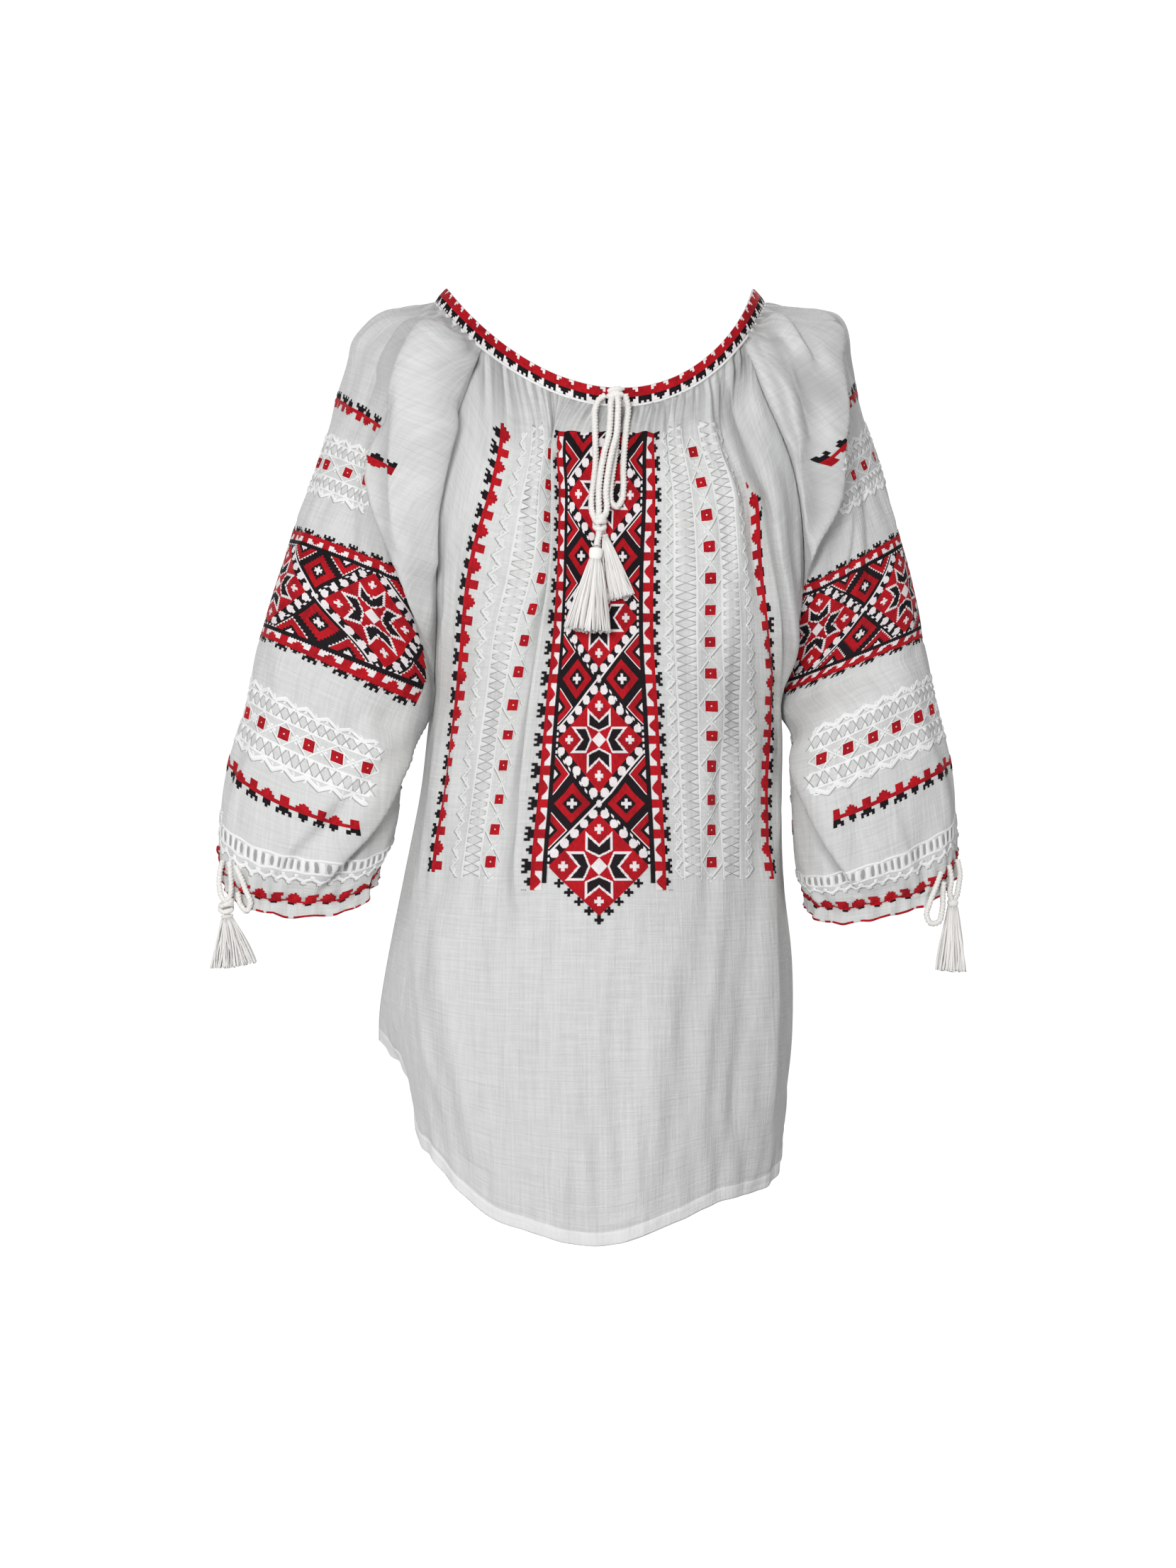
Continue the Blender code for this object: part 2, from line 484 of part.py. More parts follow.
def sleeve(name, side, rows, columns, folds, mat, group):
    """Open between the raglan seams, a closed tube below the underarm."""
    corner_t = next(row[0] for row in sleeve_table(side) if row[4] >= 1.0)
    fine = np.linspace(0, corner_t, 400)
    upper = np.interp(np.linspace(0, 1, rows[0] + 1), sleeve_edges(side, fine)[2], fine)     # same v as the body's rows
    upper[-1] = corner_t
    t = np.concatenate([upper, np.linspace(corner_t, SLEEVE_T_END, rows[1] + 1)[1:]])
    q = np.linspace(-1, 1, columns + 1)
    points = sleeve_surface(side, q, t)
    normal = normals_of(points)
    middle = len(q) // 2
    if normal[rows[0] // 2, middle, 0] * (-1 if side == "left" else 1) < 0:
        normal = -normal
    half = np.interp(t, [row[0] for row in SLEEVE_HALF], [row[1] for row in SLEEVE_HALF])[:, None]
    across, down = q[None, :] * half, np.repeat(t[:, None], len(q), 1)
    calm = np.clip((1 - np.abs(q[None, :])) / 0.12, 0, 1) * np.clip(down / 20.0, 0, 1)
    points = fold(points, normal, across, down, 1.0, 1.0, folds, calm)
    amount = SEAM * np.clip((corner_t - t) / 20.0, 0, 1)
    step_in(points, "left", amount)
    step_in(points, "right", amount)
    step_in(points, "top", NECK_SEAM)
    flat = points.reshape(-1, 3)
    width = len(q)
    index = np.arange(len(flat)).reshape(len(t), width)
    tube = rows[0]
    index[tube:, -1] = index[tube:, 0]                 # the underarm seam is closed
    used = np.unique(index)
    place = -np.ones(len(flat), int)
    place[used] = np.arange(len(used))
    faces = [tuple(int(place[k]) for k in (index[j, i], index[j + 1, i], index[j + 1, i + 1], index[j, i + 1]))
             for j in range(len(t) - 1) for i in range(width - 1)]
    return wall_object(name, flat[used], faces, WALL, mat, group)


def band_point(angle, share):
    """On the neck band at a neck angle, share 0 at the seam and 1 at the top edge."""
    seam = neck_ring(angle)
    a = np.radians(np.asarray(angle, float))
    lean = BAND_LEAN_FRONT + (BAND_LEAN_SIDE - BAND_LEAN_FRONT) * np.abs(np.sin(a)) ** 2
    inward = np.stack([-np.sin(a), np.cos(a), 0 * a], -1)
    rise = np.sqrt(BAND_HIGH ** 2 - lean ** 2)
    share = np.reshape(share, (-1, 1)) if np.ndim(share) else share
    return seam + inward * (lean[..., None] * share) + np.array([0, 0, 1.0]) * (rise[..., None] * share)


def neck_band(segments, mat, group):
    angles = np.linspace(0, 360, segments + 1)[:-1]
    rows = [band_point(np.where(angles > 180, angles - 360, angles), s) for s in (0.0, 1.0)]
    obj = wall_object("neck_band", np.array(rows), grid_faces(2, segments, ring=True), BAND_WALL, mat, group)
    return obj


def tube(name, path, thick, mat, group, resolution=2):
    """A cord along a smooth curve through the rows of its path, capped at both ends."""
    path = np.asarray(path, float)
    length = np.concatenate([[0], np.cumsum(np.linalg.norm(np.diff(path, axis=0), axis=1))])
    count = min(80, max(6, int(length[-1] / (2.4 * thick)) + 1))
    points = spline(length, path, np.linspace(0, length[-1], count))
    curve = bpy.data.curves.new(name, "CURVE")
    curve.dimensions = "3D"
    curve.bevel_depth = thick / 2 * MM
    curve.bevel_resolution = resolution
    curve.use_fill_caps = True
    line = curve.splines.new("POLY")
    line.points.add(count - 1)
    for target, point in zip(line.points, points):
        target.co = (*(point * MM), 1)
    return add_object(name, curve, mat, group)


def turned(name, top, bottom, profile, squash, mat, group):
    """A knot or tassel: a profile of radius against distance down from the top, turned about its
    own axis, which runs from top to bottom; squash flattens it front to back."""
    mesh = bpy.data.meshes.new(name)
    mesh.from_pydata([(r * MM, 0, -d * MM) for r, d in profile], [(i, i + 1) for i in range(len(profile) - 1)], [])
    obj = add_object(name, mesh, mat, group)
    way = np.asarray(top, float) - np.asarray(bottom, float)
    way /= np.linalg.norm(way)
    obj.location = [c * MM for c in top]
    obj.rotation_euler = (-np.arcsin(way[1]), np.arctan2(way[0], way[2]), 0)
    obj.scale = (1, squash, 1)
    screw = obj.modifiers.new("turn", "SCREW")
    screw.steps = screw.render_steps = 16
    screw.use_merge_vertices = True
    screw.merge_threshold = 0.00001
    return obj


def knot(name, mat, group):
    centre, radius, high = KNOTS[name]
    angles = np.linspace(0, np.pi, 8)
    profile = [(radius * np.sin(a) if 0 < a < np.pi - 1e-6 else 0.0, high / 2 * (1 - np.cos(a))) for a in angles]
    top = np.array(centre) + (0, 0, high / 2)
    return turned(name, top, top - (0, 0, high), profile, 0.9 if name != "neck_bow" else 0.8, mat, group)


def tassel(name, mat, group):
    """The reach of a tassel: bound head, waist, and a skirt that spreads to its cut end."""
    top, bottom, wide, deep, head, head_long, waist = TASSELS[name]
    long = float(np.linalg.norm(np.asarray(top) - np.asarray(bottom)))
    rest = long - head_long
    profile = [(0.0, 0.0), (head * 0.6, 0.3), (head, head_long * 0.35), (head * 0.96, head_long * 0.75), (waist / 2, head_long)]
    profile += [(waist / 2 + (wide - waist) / 2 * share ** 0.9, head_long + rest * share) for share in (0.25, 0.5, 0.75, 0.96)]
    profile += [(wide / 2 - 1.0, long), (0.0, long + 0.4)]
    return turned(name, top, bottom, profile, deep, mat, group)


def main():
    clear_scene()
    group = bpy.data.collections.new("peasant_blouse")
    bpy.context.scene.collection.children.link(group)
    cloth = {n: material(n, (0.70, 0.71, 0.70), 0.85) for n in ("front_cotton", "back_cotton", "sleeve_r_cotton", "sleeve_l_cotton")}
    band = material("band_embroidery", (0.32, 0.02, 0.03), 0.8)
    body_panel("front", (10, 10), 36, FOLDS_FRONT, cloth["front_cotton"], group)
    body_panel("back", (10, 8), 24, FOLDS_BACK, cloth["back_cotton"], group)
    sleeve("sleeve_right", "left", (10, 8), 28, FOLDS_LEFT_SLEEVE, cloth["sleeve_r_cotton"], group)
    sleeve("sleeve_left", "right", (10, 8), 28, FOLDS_RIGHT_SLEEVE, cloth["sleeve_l_cotton"], group)
    neck_band(60, band, group)
    for name, path in NECK_CORDS.items():
        tube(name, path, CORD_NECK, material(name + "_cotton", (0.85, 0.83, 0.80), 0.8), group)
    for name, path in CUFF_CORDS.items():
        tube(name, path, CORD_CUFF, material(name + "_cotton", (0.85, 0.83, 0.80), 0.8), group)
    for name in KNOTS:
        knot(name, material(name + "_cotton", (0.85, 0.83, 0.80), 0.8), group)
    for name in TASSELS:
        tassel(name, material(name + "_thread", (0.86, 0.84, 0.81), 0.75), group)


main()
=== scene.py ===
"""Looks of the embroidered peasant blouse: crinkled cotton with its gathers and folds, cross-stitch
in red and black, whitework lace, drawstring, ties and tassels. Metres, +Z up, the front faces -Y.
Tables are in millimetres and degrees, in the same frame as the construction."""

import json
import bpy
import numpy as np
from math import radians, pi
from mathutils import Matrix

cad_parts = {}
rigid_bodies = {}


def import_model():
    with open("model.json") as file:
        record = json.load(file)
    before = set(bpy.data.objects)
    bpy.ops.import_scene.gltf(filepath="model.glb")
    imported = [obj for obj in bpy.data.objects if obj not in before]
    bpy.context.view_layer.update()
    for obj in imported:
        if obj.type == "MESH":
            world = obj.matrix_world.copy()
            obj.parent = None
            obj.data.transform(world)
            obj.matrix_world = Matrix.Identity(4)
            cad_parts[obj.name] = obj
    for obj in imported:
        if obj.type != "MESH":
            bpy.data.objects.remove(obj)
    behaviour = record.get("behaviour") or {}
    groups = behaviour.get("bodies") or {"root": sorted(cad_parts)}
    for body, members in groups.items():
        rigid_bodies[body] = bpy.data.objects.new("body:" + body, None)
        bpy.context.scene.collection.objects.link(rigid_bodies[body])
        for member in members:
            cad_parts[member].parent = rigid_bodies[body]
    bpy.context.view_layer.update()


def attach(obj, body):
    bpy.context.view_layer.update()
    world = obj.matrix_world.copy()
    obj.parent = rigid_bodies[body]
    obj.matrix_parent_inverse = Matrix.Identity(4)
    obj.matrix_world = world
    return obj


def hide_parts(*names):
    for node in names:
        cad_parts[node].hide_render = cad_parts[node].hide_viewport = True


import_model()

MM = 0.001

# ---------------------------------------------------------------- camera, lights, stage
EYE = (-0.0091, -2.6, -0.3757)
cam_data = bpy.data.cameras.new("camera")
cam_data.sensor_width = 36.0
cam_data.lens = 76.94
cam = bpy.data.objects.new("camera", cam_data)
cam.location = EYE
cam.rotation_euler = (radians(90), 0, 0)
bpy.context.scene.collection.objects.link(cam)
bpy.context.scene.camera = cam
bpy.context.scene.view_settings.view_transform = "Standard"


def area_light(name, place, target, size, power, colour=(1, 1, 1)):
    data = bpy.data.lights.new(name, "AREA")
    data.shape = "RECTANGLE"
    data.size, data.size_y = size
    data.energy = power
    data.color = colour
    obj = bpy.data.objects.new(name, data)
    obj.location = place
    way = np.array(target, float) - np.array(place, float)
    way /= np.linalg.norm(way)
    obj.rotation_euler = (np.arccos(-way[2]), 0, np.arctan2(way[1], way[0]) - pi / 2)
    bpy.context.scene.collection.objects.link(obj)


area_light("key", (-0.60, -2.5, 0.16), (0, 0, -0.44), (0.7, 0.7), 37.0)
area_light("fill", (1.5, -1.9, -0.85), (0.05, 0, -0.58), (0.7, 0.8), 13.0)
area_light("side", (-1.9, -1.0, -0.3), (0, 0, -0.45), (0.6, 1.0), 8.0)
area_light("top", (0.1, -0.6, 1.2), (0, 0, -0.3), (0.7, 0.5), 3.0)
area_light("back", (0.8, 2.1, 1.2), (0, 0, -0.45), (0.9, 0.9), 30.0)
area_light("back_low", (-1.7, 1.9, -0.5), (0, 0, -0.45), (0.8, 0.9), 13.0)

world = bpy.data.worlds.new("studio")
bpy.context.scene.world = world
world.use_nodes = True
world.node_tree.nodes["Background"].inputs["Color"].default_value = (1.0, 1.0, 1.0, 1)
world.node_tree.nodes["Background"].inputs["Strength"].default_value = 0.27

FLOOR = -1.05

# ---------------------------------------------------------------- sizes, as in the construction
NECK_HALF = 127.0
NECK_SKEW = 9.0
NECK_FRONT, NECK_BACK = 105.0, 86.0
NECK_TIP, DIP_FRONT, DIP_BACK = -2.8, 91.0, 74.0
DIP_POWER, DIP_SKEW = 1.72, 3.6
BAND_HIGH, BAND_LEAN_SIDE, BAND_LEAN_FRONT, BAND_WALL = 14.0, 9.0, 3.0, 1.6
RAGLAN_AT = {"front_left": -47.0, "front_right": 58.0, "back_left": -124.0, "back_right": 124.0}
RAGLAN = {
    #               v     x      y      z
    "front_left": [(0.16, -99, -88, -77), (0.36, -113, -101, -124), (0.60, -121, -94, -190),
                   (0.84, -124, -60, -256), (1.00, -128, -6, -301)],
    "front_right": [(0.16, 120, -84, -76), (0.36, 143, -97, -136), (0.60, 153, -86, -206),
                    (0.84, 148, -52, -272), (1.00, 137, -4, -318)],
    "back_left": [(0.16, -112, 68, -62), (0.36, -126, 84, -115), (0.60, -134, 82, -185),
                  (0.84, -134, 50, -256), (1.00, -128, -6, -301)],
    "back_right": [(0.16, 112, 68, -62), (0.36, 128, 84, -118), (0.60, 138, 82, -190),
                   (0.84, 140, 48, -264), (1.00, 137, -4, -318)],
}
SIDE = {
    "left": [(1.00, -128, -6, -301), (1.10, -132, -4, -326), (1.30, -139, -3, -384),
             (1.46, -150, -3, -440), (1.64, -163, -3, -505), (1.82, -170, -4, -548),
             (2.00, -171, -5, -574)],
    "right": [(1.00, 137, -4, -318), (1.10, 139, 2, -342), (1.30, 141, 6, -396),
              (1.46, 143, 10, -450), (1.64, 150, 18, -512), (1.82, 151, 30, -572),
              (2.00, 147, 44, -622)],
}
FRONT_AT = (-132.0, -85.0, -54.0, 0.0, 54.0, 85.0, 132.0)
FRONT_NECK = (-40.0, -23.0, -14.0, 2.0, 18.0, 29.0, 50.0)
FRONT_ROWS = [
    (0.10, -113, -113, (-73, -37, -32, 6, 44, 66, 102)),
    (0.28, -163, -125, (-81, -39, -32, 3, 45, 76, 114)),
    (0.52, -216, -133, (-96, -42, -33, 1, 44, 81, 121)),
    (0.78, -268, -137, (-104, -56, -37, -1, 44, 81, 127)),
    (1.04, -323, -139, (-109, -66, -43, -1, 47, 82, 128)),
    (1.28, -383, -138, (-117, -74, -49, -1, 50, 82, 126)),
    (1.45, -443, -136, (-124, -82, -55, -1, 53, 83, 126)),
    (1.64, -518, -134, (-129, -86, -57, -1, 54, 85, 127)),
    (1.82, -602, -131, (-129, -86, -57, -1, 54, 86, 129)),
    (2.00, -717, -127, (-127, -84, -56, 0, 54, 86, 126)),
]
FRONT_HEM = {
    1.64: (-514, -518, -518, -518, -518, -518, -516),
    1.82: (-584, -600, -603, -604, -601, -598, -594),
    2.00: (-655, -696, -706, -717, -702, -690, -682),
}
BODY_ROUND = 2.25
HEM_TURN = [(0.0, -171, -574), (0.15, -159.5, -585), (0.30, -150.5, -591), (0.42, -144.2, -603), (0.60, -140, -626),
            (0.78, -135.7, -645), (1.0, -127, -655)]     # share of the way in from the side seam, x, z
BACK_AT = (-130.0, -65.0, 0.0, 65.0, 130.0)
BACK_NECK = (-137.0, -158.0, -180.0, -202.0, -223.0)
BACK_ROWS = [
    (0.12, -100, 92, (-84, -42, 0, 42, 84)),
    (0.30, -150, 104, (-94, -48, 0, 48, 94)),
    (0.54, -208, 110, (-102, -52, 0, 52, 104)),
    (0.80, -266, 111, (-108, -55, 0, 56, 110)),
    (1.04, -325, 109, (-112, -57, 0, 58, 114)),
    (1.28, -384, 105, (-116, -60, 0, 61, 118)),
    (1.45, -444, 103, (-120, -62, 0, 62, 120)),
    (1.64, -518, 106, (-124, -64, 0, 64, 123)),
    (1.82, -600, 110, (-124, -64, 0, 64, 124)),
    (2.00, -690, 113, (-118, -62, 0, 62, 122)),
]
BACK_HEM = {
    1.64: (-510, -517, -518, -518, -514),
    1.82: (-570, -594, -600, -598, -584),
    2.00: (-628, -675, -696, -688, -652),
}
SLEEVE_T_END = 500.0
SLEEVE_LEFT_SIDE = [
    (30, -155, 0, -10, 0.055, 0, 0, 0, 84, 0),
    (58, -181, 0, -19, 0.12, 0, 0, 0, 92, 0),
    (76, -195, -2, -31, 0.18, 0, 0, 0, 96, 0),
    (95, -199, -4, -49, 0.26, 0, 0, 0, 98, 0),
    (121, -206, -6, -75, 0.38, 0, 0, 0, 99, 0),
    (174, -219, -12, -126, 0.54, 0, 0, 0, 95, 0),
    (227, -236, -16, -177, 0.72, 0, 0, 0, 84, 0),
    (272, -249, -18, -221, 0.88, 0, 0, 0, 72, 0),
    (304, -258, -19, -251, 1.00, 0, 0, 0, 62, 0),
    (320, -262, -20, -266, 1.06, -140, -16, -322, 58, 0),
    (371, -272, -22, -317, 1.30, -151, -22, -362, 51, 4),
    (414, -284, -24, -357, 1.50, -155, -26, -396, 48, 16),
    (457, -291, -26, -400, 1.72, -160, -28, -419, 45, 26),
    (486, -291, -27, -429, 1.90, -168, -29, -436, 41, 32),
    (500, -290, -27, -443, 2.00, -170, -29, -448, 43, 31),
]
SLEEVE_RIGHT_SIDE = [
    (30, 157, 0, -8, 0.055, 0, 0, 0, 84, 0),
    (58, 184, 0, -15, 0.12, 0, 0, 0, 92, 0),
    (76, 192, -2, -30, 0.18, 0, 0, 0, 96, 0),
    (95, 196, -4, -49, 0.26, 0, 0, 0, 98, 0),
    (121, 202, -6, -74, 0.36, 0, 0, 0, 98, 0),
    (174, 216, -12, -126, 0.50, 0, 0, 0, 94, 0),
    (227, 228, -16, -177, 0.66, 0, 0, 0, 84, 0),
    (272, 238, -18, -221, 0.81, 0, 0, 0, 72, 0),
    (304, 245, -20, -252, 0.92, 0, 0, 0, 62, 0),
    (326, 249, -22, -273, 1.00, 0, 0, 0, 56, 0),
    (340, 252, -23, -287, 1.07, 146, -30, -334, 53, 0),
    (371, 258, -25, -317, 1.30, 146, -36, -366, 50, 2),
    (414, 268, -27, -359, 1.50, 148, -38, -410, 47, 6),
    (457, 273, -28, -402, 1.72, 151, -38, -444, 44, 14),
    (486, 273, -28, -430, 1.90, 156, -37, -458, 40, 20),
    (500, 272, -28, -444, 2.00, 157, -36, -470, 42, 20),
]
SLEEVE_ROUND = ((0, 121, 174, 227, 304, 500), (1.45, 1.5, 1.62, 1.9, 2.4, 2.6))
SLEEVE_HALF = [(0, 96), (76, 118), (174, 148), (304, 170), (500, 170)]
FRONT_HALF = [(0.0, 150), (0.5, 185), (1.0, 208), (1.5, 216), (2.0, 226)]

# main folds: a path in cloth coordinates (across, down), height (minus: a trough), half width on
# the left and on the right of the crest, and how far the crest leans sideways
FOLDS_FRONT = [
    # a0    v0    a1    v1    a2    v2   height left right lean
    (-56, 0.02, -57, 0.50, -60, 1.30, 2.0, 7.0, 13.0, -1.0),
    (-78, 0.02, -73, 0.50, -76, 1.20, -6.0, 12.0, 8.0, 0.0),
    (-112, 0.03, -136, 0.24, -166, 0.80, -4.0, 10.0, 14.0, 0.0),
    (-96, 0.03, -100, 0.24, -108, 0.60, 5.0, 12.0, 9.0, 0.0),
    (96, 0.02, 106, 0.24, 112, 0.60, 5.0, 12.0, 8.0, 0.0),
    (116, 0.02, 124, 0.35, 134, 0.90, -7.0, 12.0, 9.0, 0.0),
    (140, 0.04, 148, 0.40, 156, 0.94, 5.0, 11.0, 18.0, -2.0),
    (-118, 1.50, -112, 1.70, -92, 1.94, 6.0, 20.0, 13.0, 0.0),
    (134, 1.40, 130, 1.70, 126, 1.99, 7.0, 17.0, 9.0, 4.0),
    (40, 1.56, 44, 1.74, 34, 1.96, 3.5, 20.0, 14.0, 0.0),
]
FOLDS_BACK = [
    (-70, 0.03, -80, 0.40, -90, 0.95, 7.0, 14.0, 20.0, 0.0),
    (74, 0.03, 86, 0.45, 96, 1.10, 7.0, 20.0, 14.0, 0.0),
    (10, 0.03, 6, 0.30, 0, 0.70, -5.0, 18.0, 14.0, 0.0),
    (-60, 1.50, -66, 1.70, -76, 1.98, 6.0, 22.0, 15.0, 0.0),
    (66, 1.46, 72, 1.70, 70, 1.98, -6.0, 15.0, 22.0, 0.0),
    (-30, 0.02, -36, 0.55, -50, 1.62, 6.0, 12.0, 8.0, 0.0),
    (36, 0.02, 42, 0.36, 47, 1.02, 6.5, 8.0, 12.0, 0.0),
    (-102, 0.16, -116, 0.70, -126, 1.48, 6.5, 12.0, 9.0, 0.0),
    (106, 0.22, 120, 0.82, 128, 1.72, 6.5, 9.0, 13.0, 0.0),
    (-6, 0.82, -11, 1.30, -20, 1.97, 6.5, 13.0, 9.0, 0.0),
    (38, 0.94, 40, 1.42, 31, 1.98, 6.0, 9.0, 12.0, 0.0),
    (-96, 1.12, -105, 1.56, -112, 1.96, 5.0, 10.0, 14.0, 0.0),
]
FOLDS_LEFT_SLEEVE = [
    (-64, 100, -74, 190, -116, 300, -5.0, 8.0, 17.0, 0.0),
    (-132, 340, -90, 420, -46, 492, 9.0, 10.0, 19.0, -5.0),
    (90, 80, 108, 190, 140, 306, 9.0, 20.0, 15.0, 0.0),
    (60, 340, 80, 420, 66, 486, -6.0, 18.0, 14.0, 0.0),
]
FOLDS_RIGHT_SLEEVE = [
    (-66, 110, -76, 190, -112, 300, -4.0, 8.0, 17.0, 0.0),
    (-122, 360, -90, 430, -60, 492, 8.0, 10.0, 18.0, -3.0),
    (88, 80, 106, 190, 138, 306, 9.0, 20.0, 15.0, 0.0),
    (54, 340, 72, 420, 62, 486, -6.0, 18.0, 14.0, 0.0),
]
# overlapping tucks: path of (across, down in millimetres), height, half width on the left and
# right of the crest, lean. The steep side lies over the cloth beside it.
TUCKS_FRONT = [
    ([(-60, 98), (-62, 160), (-62, 216), (-60, 330), (-58, 440), (-56, 500)], 6.5, 4.5, 7.0, -3.5),
    ([(107, 86), (127, 104), (136, 122), (139, 160), (145, 178), (149, 206), (155, 250), (164, 310)], 9.0, 3.6, 15.0, -6.5),
    ([(100, 92), (106, 120), (110, 150), (112, 185)], 2.6, 7.0, 3.2, 2.0),
]
TUCKS_LEFT_SLEEVE = [
    ([(-56, 6), (-63, 22), (-72, 40), (-82, 67), (-87, 84), (-91, 100), (-98, 118), (-96, 141), (-97, 160), (-107, 187),
      (-123, 213), (-134, 233), (-146, 258), (-158, 280), (-166, 300)], 15.0, 26.0, 3.0, 9.0),
    ([(-96, 92), (-106, 120), (-110, 150), (-122, 190), (-138, 230)], 4.5, 9.0, 3.0, 3.5),
    ([(-40, 22), (-52, 50), (-60, 76), (-62, 104)], 4.0, 10.0, 4.0, 3.5),
    ([(-110, 86), (-128, 138), (-139, 188), (-148, 236)], 6.0, 7.0, 15.0, -8.0),
    ([(-166, 296), (-158, 322), (-148, 350), (-140, 381), (-122, 430), (-104, 462), (-94, 486)], 10.0, 3.2, 22.0, -7.0),
]
TUCKS_RIGHT_SLEEVE = [
    ([(-26, 40), (-48, 66), (-76, 92), (-90, 120), (-107, 140), (-122, 170), (-134, 190), (-143, 208), (-158, 240)],
     13.0, 26.0, 3.2, 8.5),
    ([(-84, 12), (-94, 44), (-101, 64), (-102, 78), (-105, 90), (-112, 104), (-120, 122), (-127, 142), (-138, 172),
      (-148, 206)], 9.0, 12.0, 2.6, 3.0),
    ([(-92, 12), (-106, 50), (-114, 78), (-124, 104), (-131, 131), (-139, 160)], 4.5, 9.0, 4.0, 1.5),
    ([(-58, 10), (-70, 34), (-80, 58), (-86, 82)], 4.5, 9.0, 2.8, 3.0),
    ([(-112, 110), (-130, 160), (-142, 206), (-152, 250)], 5.0, 6.0, 14.0, -5.0),
    ([(-150, 340), (-140, 380), (-126, 420), (-110, 456), (-100, 482)], 6.0, 3.6, 20.0, -4.5),
]
# how far forward the bands show: they run in under the tuck beyond this (down, across)
SHOWN_LEFT = [(100, -80), (122, -84), (141, -84), (160, -86), (187, -99), (213, -117), (233, -128), (258, -141), (280, -148),
              (300, -142), (322, -140), (345, -139), (372, -133), (412, -126), (426, -120), (440, -170)]
SHOWN_RIGHT = [(80, -62), (124, -84), (140, -101), (170, -118), (190, -130), (208, -139), (228, -152), (242, -170)]
# where the fold lies over the right line: it shows up to this (down, across)
LINE_SHOWN = [(100, 125.6), (160, 126.0), (170, 131), (178, 138), (190, 135), (245, 135.5), (256, 142)]
# shade in the deepest folds: path of (across, down), reach to the left and right, strength
SHADES = {
    "front": [([(122, 92), (126, 106), (134, 123), (137, 138), (138, 150), (139, 164), (142, 177), (147, 190), (153, 206)], 4.0, 6.0, 0.9),
              ([(150, 180), (155, 212), (160, 250), (166, 300)], 7.0, 7.0, 0.55)],
    "sleeve_right": [([(-50, 14), (-62, 34), (-74, 60), (-79, 84), (-79, 104), (-76, 124)], 6.0, 24.0, 1.0),
                     ([(-60, 22), (-68, 40), (-76, 64), (-80, 86)], 4.0, 12.0, 1.3),
                     ([(-80, 74), (-80, 96), (-77, 116)], 3.0, 5.0, 1.0)],
    "sleeve_left": [([(-78, 14), (-88, 40), (-94, 62), (-94, 78), (-97, 90), (-104, 102), (-113, 120), (-119, 138)], 2.4, 6.0, 1.0),
                    ([(-90, 60), (-93, 84), (-97, 106)], 5.0, 10.0, 1.1)],
}
# smaller creases; down is in millimetres below the shoulder tips (front, back) or down the top
# line (sleeves): across, down, three points, height, left and right half width, lean
CREASES_FRONT = [
    (-64, 104, -68, 240, -72, 430, -2.6, 2.2, 6.0, 0.0),
    (-140, 150, -132, 215, -140, 280, 3.0, 5.0, 9.0, 0.0),
    (-156, 190, -146, 260, -152, 330, -2.4, 7.0, 4.0, 0.0),
    (-112, 118, -106, 160, -96, 215, -2.8, 2.6, 6.0, 0.0),
    (-90, 110, -94, 150, -104, 196, 2.2, 4.0, 3.0, 0.0),
    (-168, 330, -150, 400, -158, 470, 2.2, 8.0, 5.0, 0.0),
    (-186, 430, -168, 505, -174, 570, -2.4, 8.0, 6.0, 0.0),
    (-150, 480, -140, 560, -118, 650, 2.6, 9.0, 5.0, 0.0),
    (-66, 560, -58, 615, -62, 690, -1.6, 8.0, 5.0, 0.0),
    (-24, 540, -20, 600, -28, 690, 1.5, 8.0, 6.0, 0.0),
    (12, 530, 16, 600, 8, 700, -1.4, 6.0, 9.0, 0.0),
    (72, 500, 78, 590, 70, 680, 1.8, 8.0, 6.0, 0.0),
    (104, 470, 104, 560, 98, 660, -2.0, 6.0, 9.0, 0.0),
    (152, 430, 150, 540, 146, 640, -3.2, 3.0, 9.0, 0.0),
    (178, 440, 172, 540, 176, 620, 2.6, 7.0, 5.0, 0.0),
    (126, 150, 134, 205, 142, 290, -2.6, 5.0, 2.6, 0.0),
    (112, 108, 118, 150, 122, 200, 2.6, 5.0, 3.4, 0.0),
    (160, 200, 168, 260, 176, 320, -3.0, 4.0, 6.0, 0.0),
    (150, 300, 156, 360, 150, 430, 2.0, 7.0, 5.0, 0.0),
    (178, 330, 170, 380, 176, 430, -2.0, 5.0, 6.0, 0.0),
    (98, 112, 104, 150, 104, 178, -1.8, 3.0, 2.2, 0.0),
    (64, 104, 62, 150, 60, 210, -1.3, 2.2, 3.0, 0.0),
]
CREASES_BACK = [
    (-110, 110, -118, 180, -130, 260, -3.0, 5.0, 8.0, 0.0),
    (112, 108, 122, 190, 136, 280, -3.0, 8.0, 5.0, 0.0),
    (-36, 108, -40, 190, -48, 300, 2.2, 7.0, 5.0, 0.0),
    (38, 106, 44, 180, 52, 280, -2.2, 5.0, 8.0, 0.0),
    (-150, 260, -146, 360, -154, 470, 2.4, 8.0, 6.0, 0.0),
    (150, 280, 142, 370, 150, 480, -2.6, 6.0, 9.0, 0.0),
    (-20, 500, -14, 600, -22, 680, 2.0, 9.0, 7.0, 0.0),
    (24, 470, 30, 580, 22, 680, -1.8, 8.0, 10.0, 0.0),
    (-120, 470, -126, 560, -118, 640, -2.2, 8.0, 6.0, 0.0),
    (124, 470, 118, 560, 124, 650, 2.4, 8.0, 6.0, 0.0),
    (-180, 420, -172, 500, -176, 570, 2.2, 7.0, 5.0, 0.0),
    (184, 420, 174, 500, 178, 600, -2.2, 5.0, 7.0, 0.0),
]
